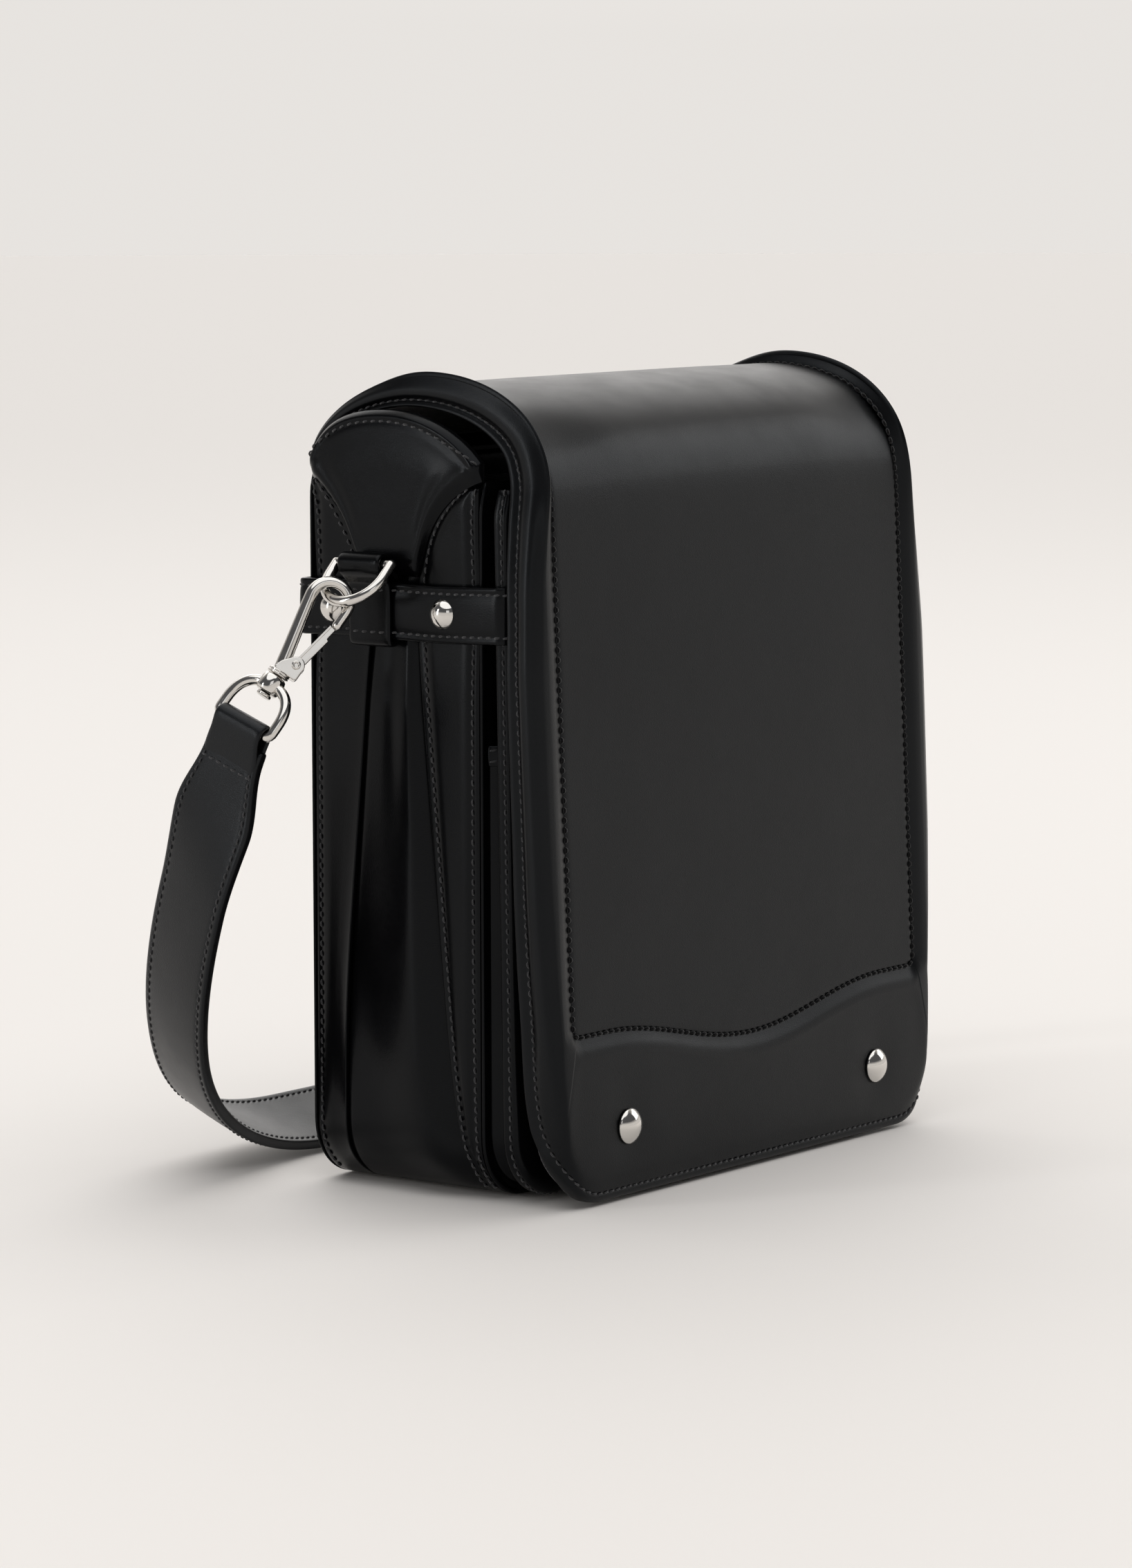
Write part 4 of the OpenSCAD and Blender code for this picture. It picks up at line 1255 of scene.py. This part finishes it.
def build_hook(side, sign):
    eye = arc(0.3, -1.2, 6.8, 194.5, 0, 34)
    flat = resample([(-0.4, -29.6), (-2.4, -20.5), (-4.3, -12)] + eye + [(7.1, -4), (7.1, -6.6)], 0.8)
    path = stacked(flat[:, 0], 0, flat[:, 1])
    s = lengths(path)
    radii = np.interp(s, [0, 8, 24, 34, 48, s[-1]], [2.5, 2.35, 2.2, 1.95, 1.9, 1.75])
    parts = [tube(path, radii, (0, 1, 0), HOOK_FRAME, sign)]
    ear = arc(PIN_X, PIN_Z, 3.0, -20, 150)
    ear += [(-1.6, -27.6), (-2.5, -30.2), (-2.2, -31), (5.6, -31), (6.2, -30.2)]
    for y0, y1 in ((-2.7, -1.5), (1.5, 2.7)):
        parts.append(cast_plate(ear, y0, y1, 0.35, HOOK_FRAME, sign))
    block = [(-2.3, -28.9), (-2.4, -31), (5.6, -31), (6.1, -30.2), (5.9, -28.9)]
    parts.append(cast_plate(block, -2.6, 2.6, 0.3, HOOK_FRAME, sign))
    collar = [
        (0, -32.6), (3.7, -32.6), (4.0, -32.3), (4.0, -31.95), (3.5, -31.75), (4.0, -31.5), (4.0, -31.15),
        (3.7, -30.85), (0, -30.85),
    ]
    parts.append(lathe(collar, HOOK_FRAME, sign))
    finished(joined(f"{side}_hook_metal", parts), f"{side}_hook_body", f"{side}_hook")
    pin = [
        (0, -2.6), (0.6, -2.6), (0.66, -3.2), (0.9, -3.42), (1.4, -3.36), (1.6, -3.1), (1.58, -2.75),
        (1.0, -2.7),
    ]
    pin = pin + [(r, -z) for r, z in reversed(pin)]
    axle = HOOK_FRAME @ Matrix.Translation((PIN_X, 0, PIN_Z)) @ Matrix.Rotation(math.pi / 2, 4, "X")
    rivet = lathe(pin, axle, sign, 28)
    rivet.name = f"{side}_gate_rivet"
    finished(rivet, f"{side}_hook_body", f"{side}_gate_pin")
    post = [
        (0, -41.2), (2.4, -41.2), (2.7, -40.9), (2.7, -40.2), (2.4, -39.9), (1.85, -39.85), (1.85, -32.4),
        (0, -32.4),
    ]
    swivel = lathe(post, SWIVEL_LINE, sign)
    swivel.name = f"{side}_post_metal"
    finished(swivel, f"{side}_hook_body", f"{side}_swivel_post")


def build_gate(side, sign):
    """A flat bar with a raised rail along each edge, and a thumb notch near its tip."""
    tip_x, tip_z = 6.7, -7.5
    reach = math.hypot(tip_x - PIN_X, tip_z - PIN_Z)
    lean = math.atan2(tip_x - PIN_X, tip_z - PIN_Z)
    along = HOOK_FRAME @ Matrix.Translation((PIN_X, 0, PIN_Z)) @ Matrix.Rotation(lean, 4, "Y")
    end = reach - 0.8
    bar = arc(0, 0, 1.9, 220, 330, 10)
    bar = bar + [(1.9, 1.2), (1.9, end - 4.6), (1.0, end - 4.0), (0.9, end), (-1.4, end), (-1.4, 1.2)]
    parts = [cast_plate(bar, -0.85, 0.85, 0.2, along, sign)]
    for x0, x1, top in ((-1.4, -0.6, end), (1.1, 1.9, end - 4.4)):
        parts.append(cast_plate([(x0, 1.6), (x1, 1.6), (x1, top), (x0, top)], -1.3, 1.3, 0.25, along, sign))
    finished(joined(f"{side}_gate_metal", parts), f"{side}_gate_body", f"{side}_gate")


def build_strap_ring(side, sign):
    """The wire D with its barrel, which turns on the swivel post."""
    reach, foot, spring = 12.0, -53.0, -48.3
    power = 2 / 2.5
    top = []
    for a in np.linspace(0, math.pi, 41):
        c, z = math.cos(a), math.sin(a)
        top.append((math.copysign(abs(c) ** power, c) * reach, spring + reach * z ** power))
    flat = top + arc(-reach + 2, foot + 2, 2, 180, 270, 5) + arc(reach - 2, foot + 2, 2, 270, 360, 5)
    flat = resample(flat + [flat[0]], 0.9)[:-1]
    path = stacked(0, flat[:, 0], flat[:, 1])
    parts = [tube(path, 1.9, (1, 0, 0), SWIVEL_LINE, sign, True)]
    barrel = [
        (1.95, -39.6), (3.5, -39.55), (4.0, -39.1), (4.3, -38.0), (4.4, -36.3), (4.3, -34.6), (4.0, -33.5),
        (3.5, -33.05), (1.95, -33.0), (1.95, -39.6),
    ]
    parts.append(lathe(barrel, SWIVEL_LINE, sign))
    finished(joined(f"{side}_strap_ring_metal", parts), "strap", f"{side}_strap_ring")


def dome(radius, height, rim=0.5):
    """The profile of a domed head, from its back up to its crown."""
    ball = (radius * radius + height * height) / (2 * height)
    top = math.asin(min(1, radius / ball))
    curve = [(ball * math.sin(a), height - ball * (1 - math.cos(a))) for a in np.linspace(top, 0, 14)]
    return [(0, -rim - 0.4), (radius - 0.3, -rim - 0.4), (radius, -rim)] + curve


def build_heads():
    """Rivet heads on the belt and snap heads on the flap, each on its own shank."""
    rivets = []
    for sign in (-1, 1):
        for y in (-23.3, 25.2):
            at = Matrix.Translation((-BELT_X, y, BELT_Z + BELT_MID)) @ Matrix.Rotation(-math.pi / 2, 4, "Y")
            rivets.append(lathe(dome(5.2, 3.3), at, sign))
            rivets.append(lathe([(0, -9.2), (1.5, -9.2), (1.5, 0), (0, 0)], at, sign, 16))
    finished(joined("belt_rivet_heads", rivets), "body", "belt_rivets")
    caps = []
    for sign in (-1, 1):
        at = Matrix.Translation((-SNAP_X, SNAP_Y, SNAP_Z)) @ Matrix.Rotation(math.pi / 2, 4, "X")
        caps.append(lathe(dome(6.3, 2.9), at, sign))
        caps.append(lathe([(0, -15.2), (1.5, -15.2), (1.5, 0), (0, 0)], at, sign, 16))
    finished(joined("snap_heads", caps), "flap", "snap_caps")


def metal_nodes():
    names = ["rivet_burrs", "snap_studs", "stud_backs", "snap_sockets"]
    for side in ("left", "right"):
        names += [f"{side}_d_ring", f"{side}_gate_spring"]
    for name in names:
        node = nodes[name]
        node.data.materials.clear()
        node.data.materials.append(NICKEL)


add_camera()
add_studio()
build_flap()
build_walls()
for side, sign in SIDES:
    yoke_side(side, sign)
build_panels()
build_belt()
for side, sign in SIDES:
    build_tab(side, sign)
build_strap()
for side, sign in SIDES:
    build_hook(side, sign)
    build_gate(side, sign)
    build_strap_ring(side, sign)
build_heads()
metal_nodes()
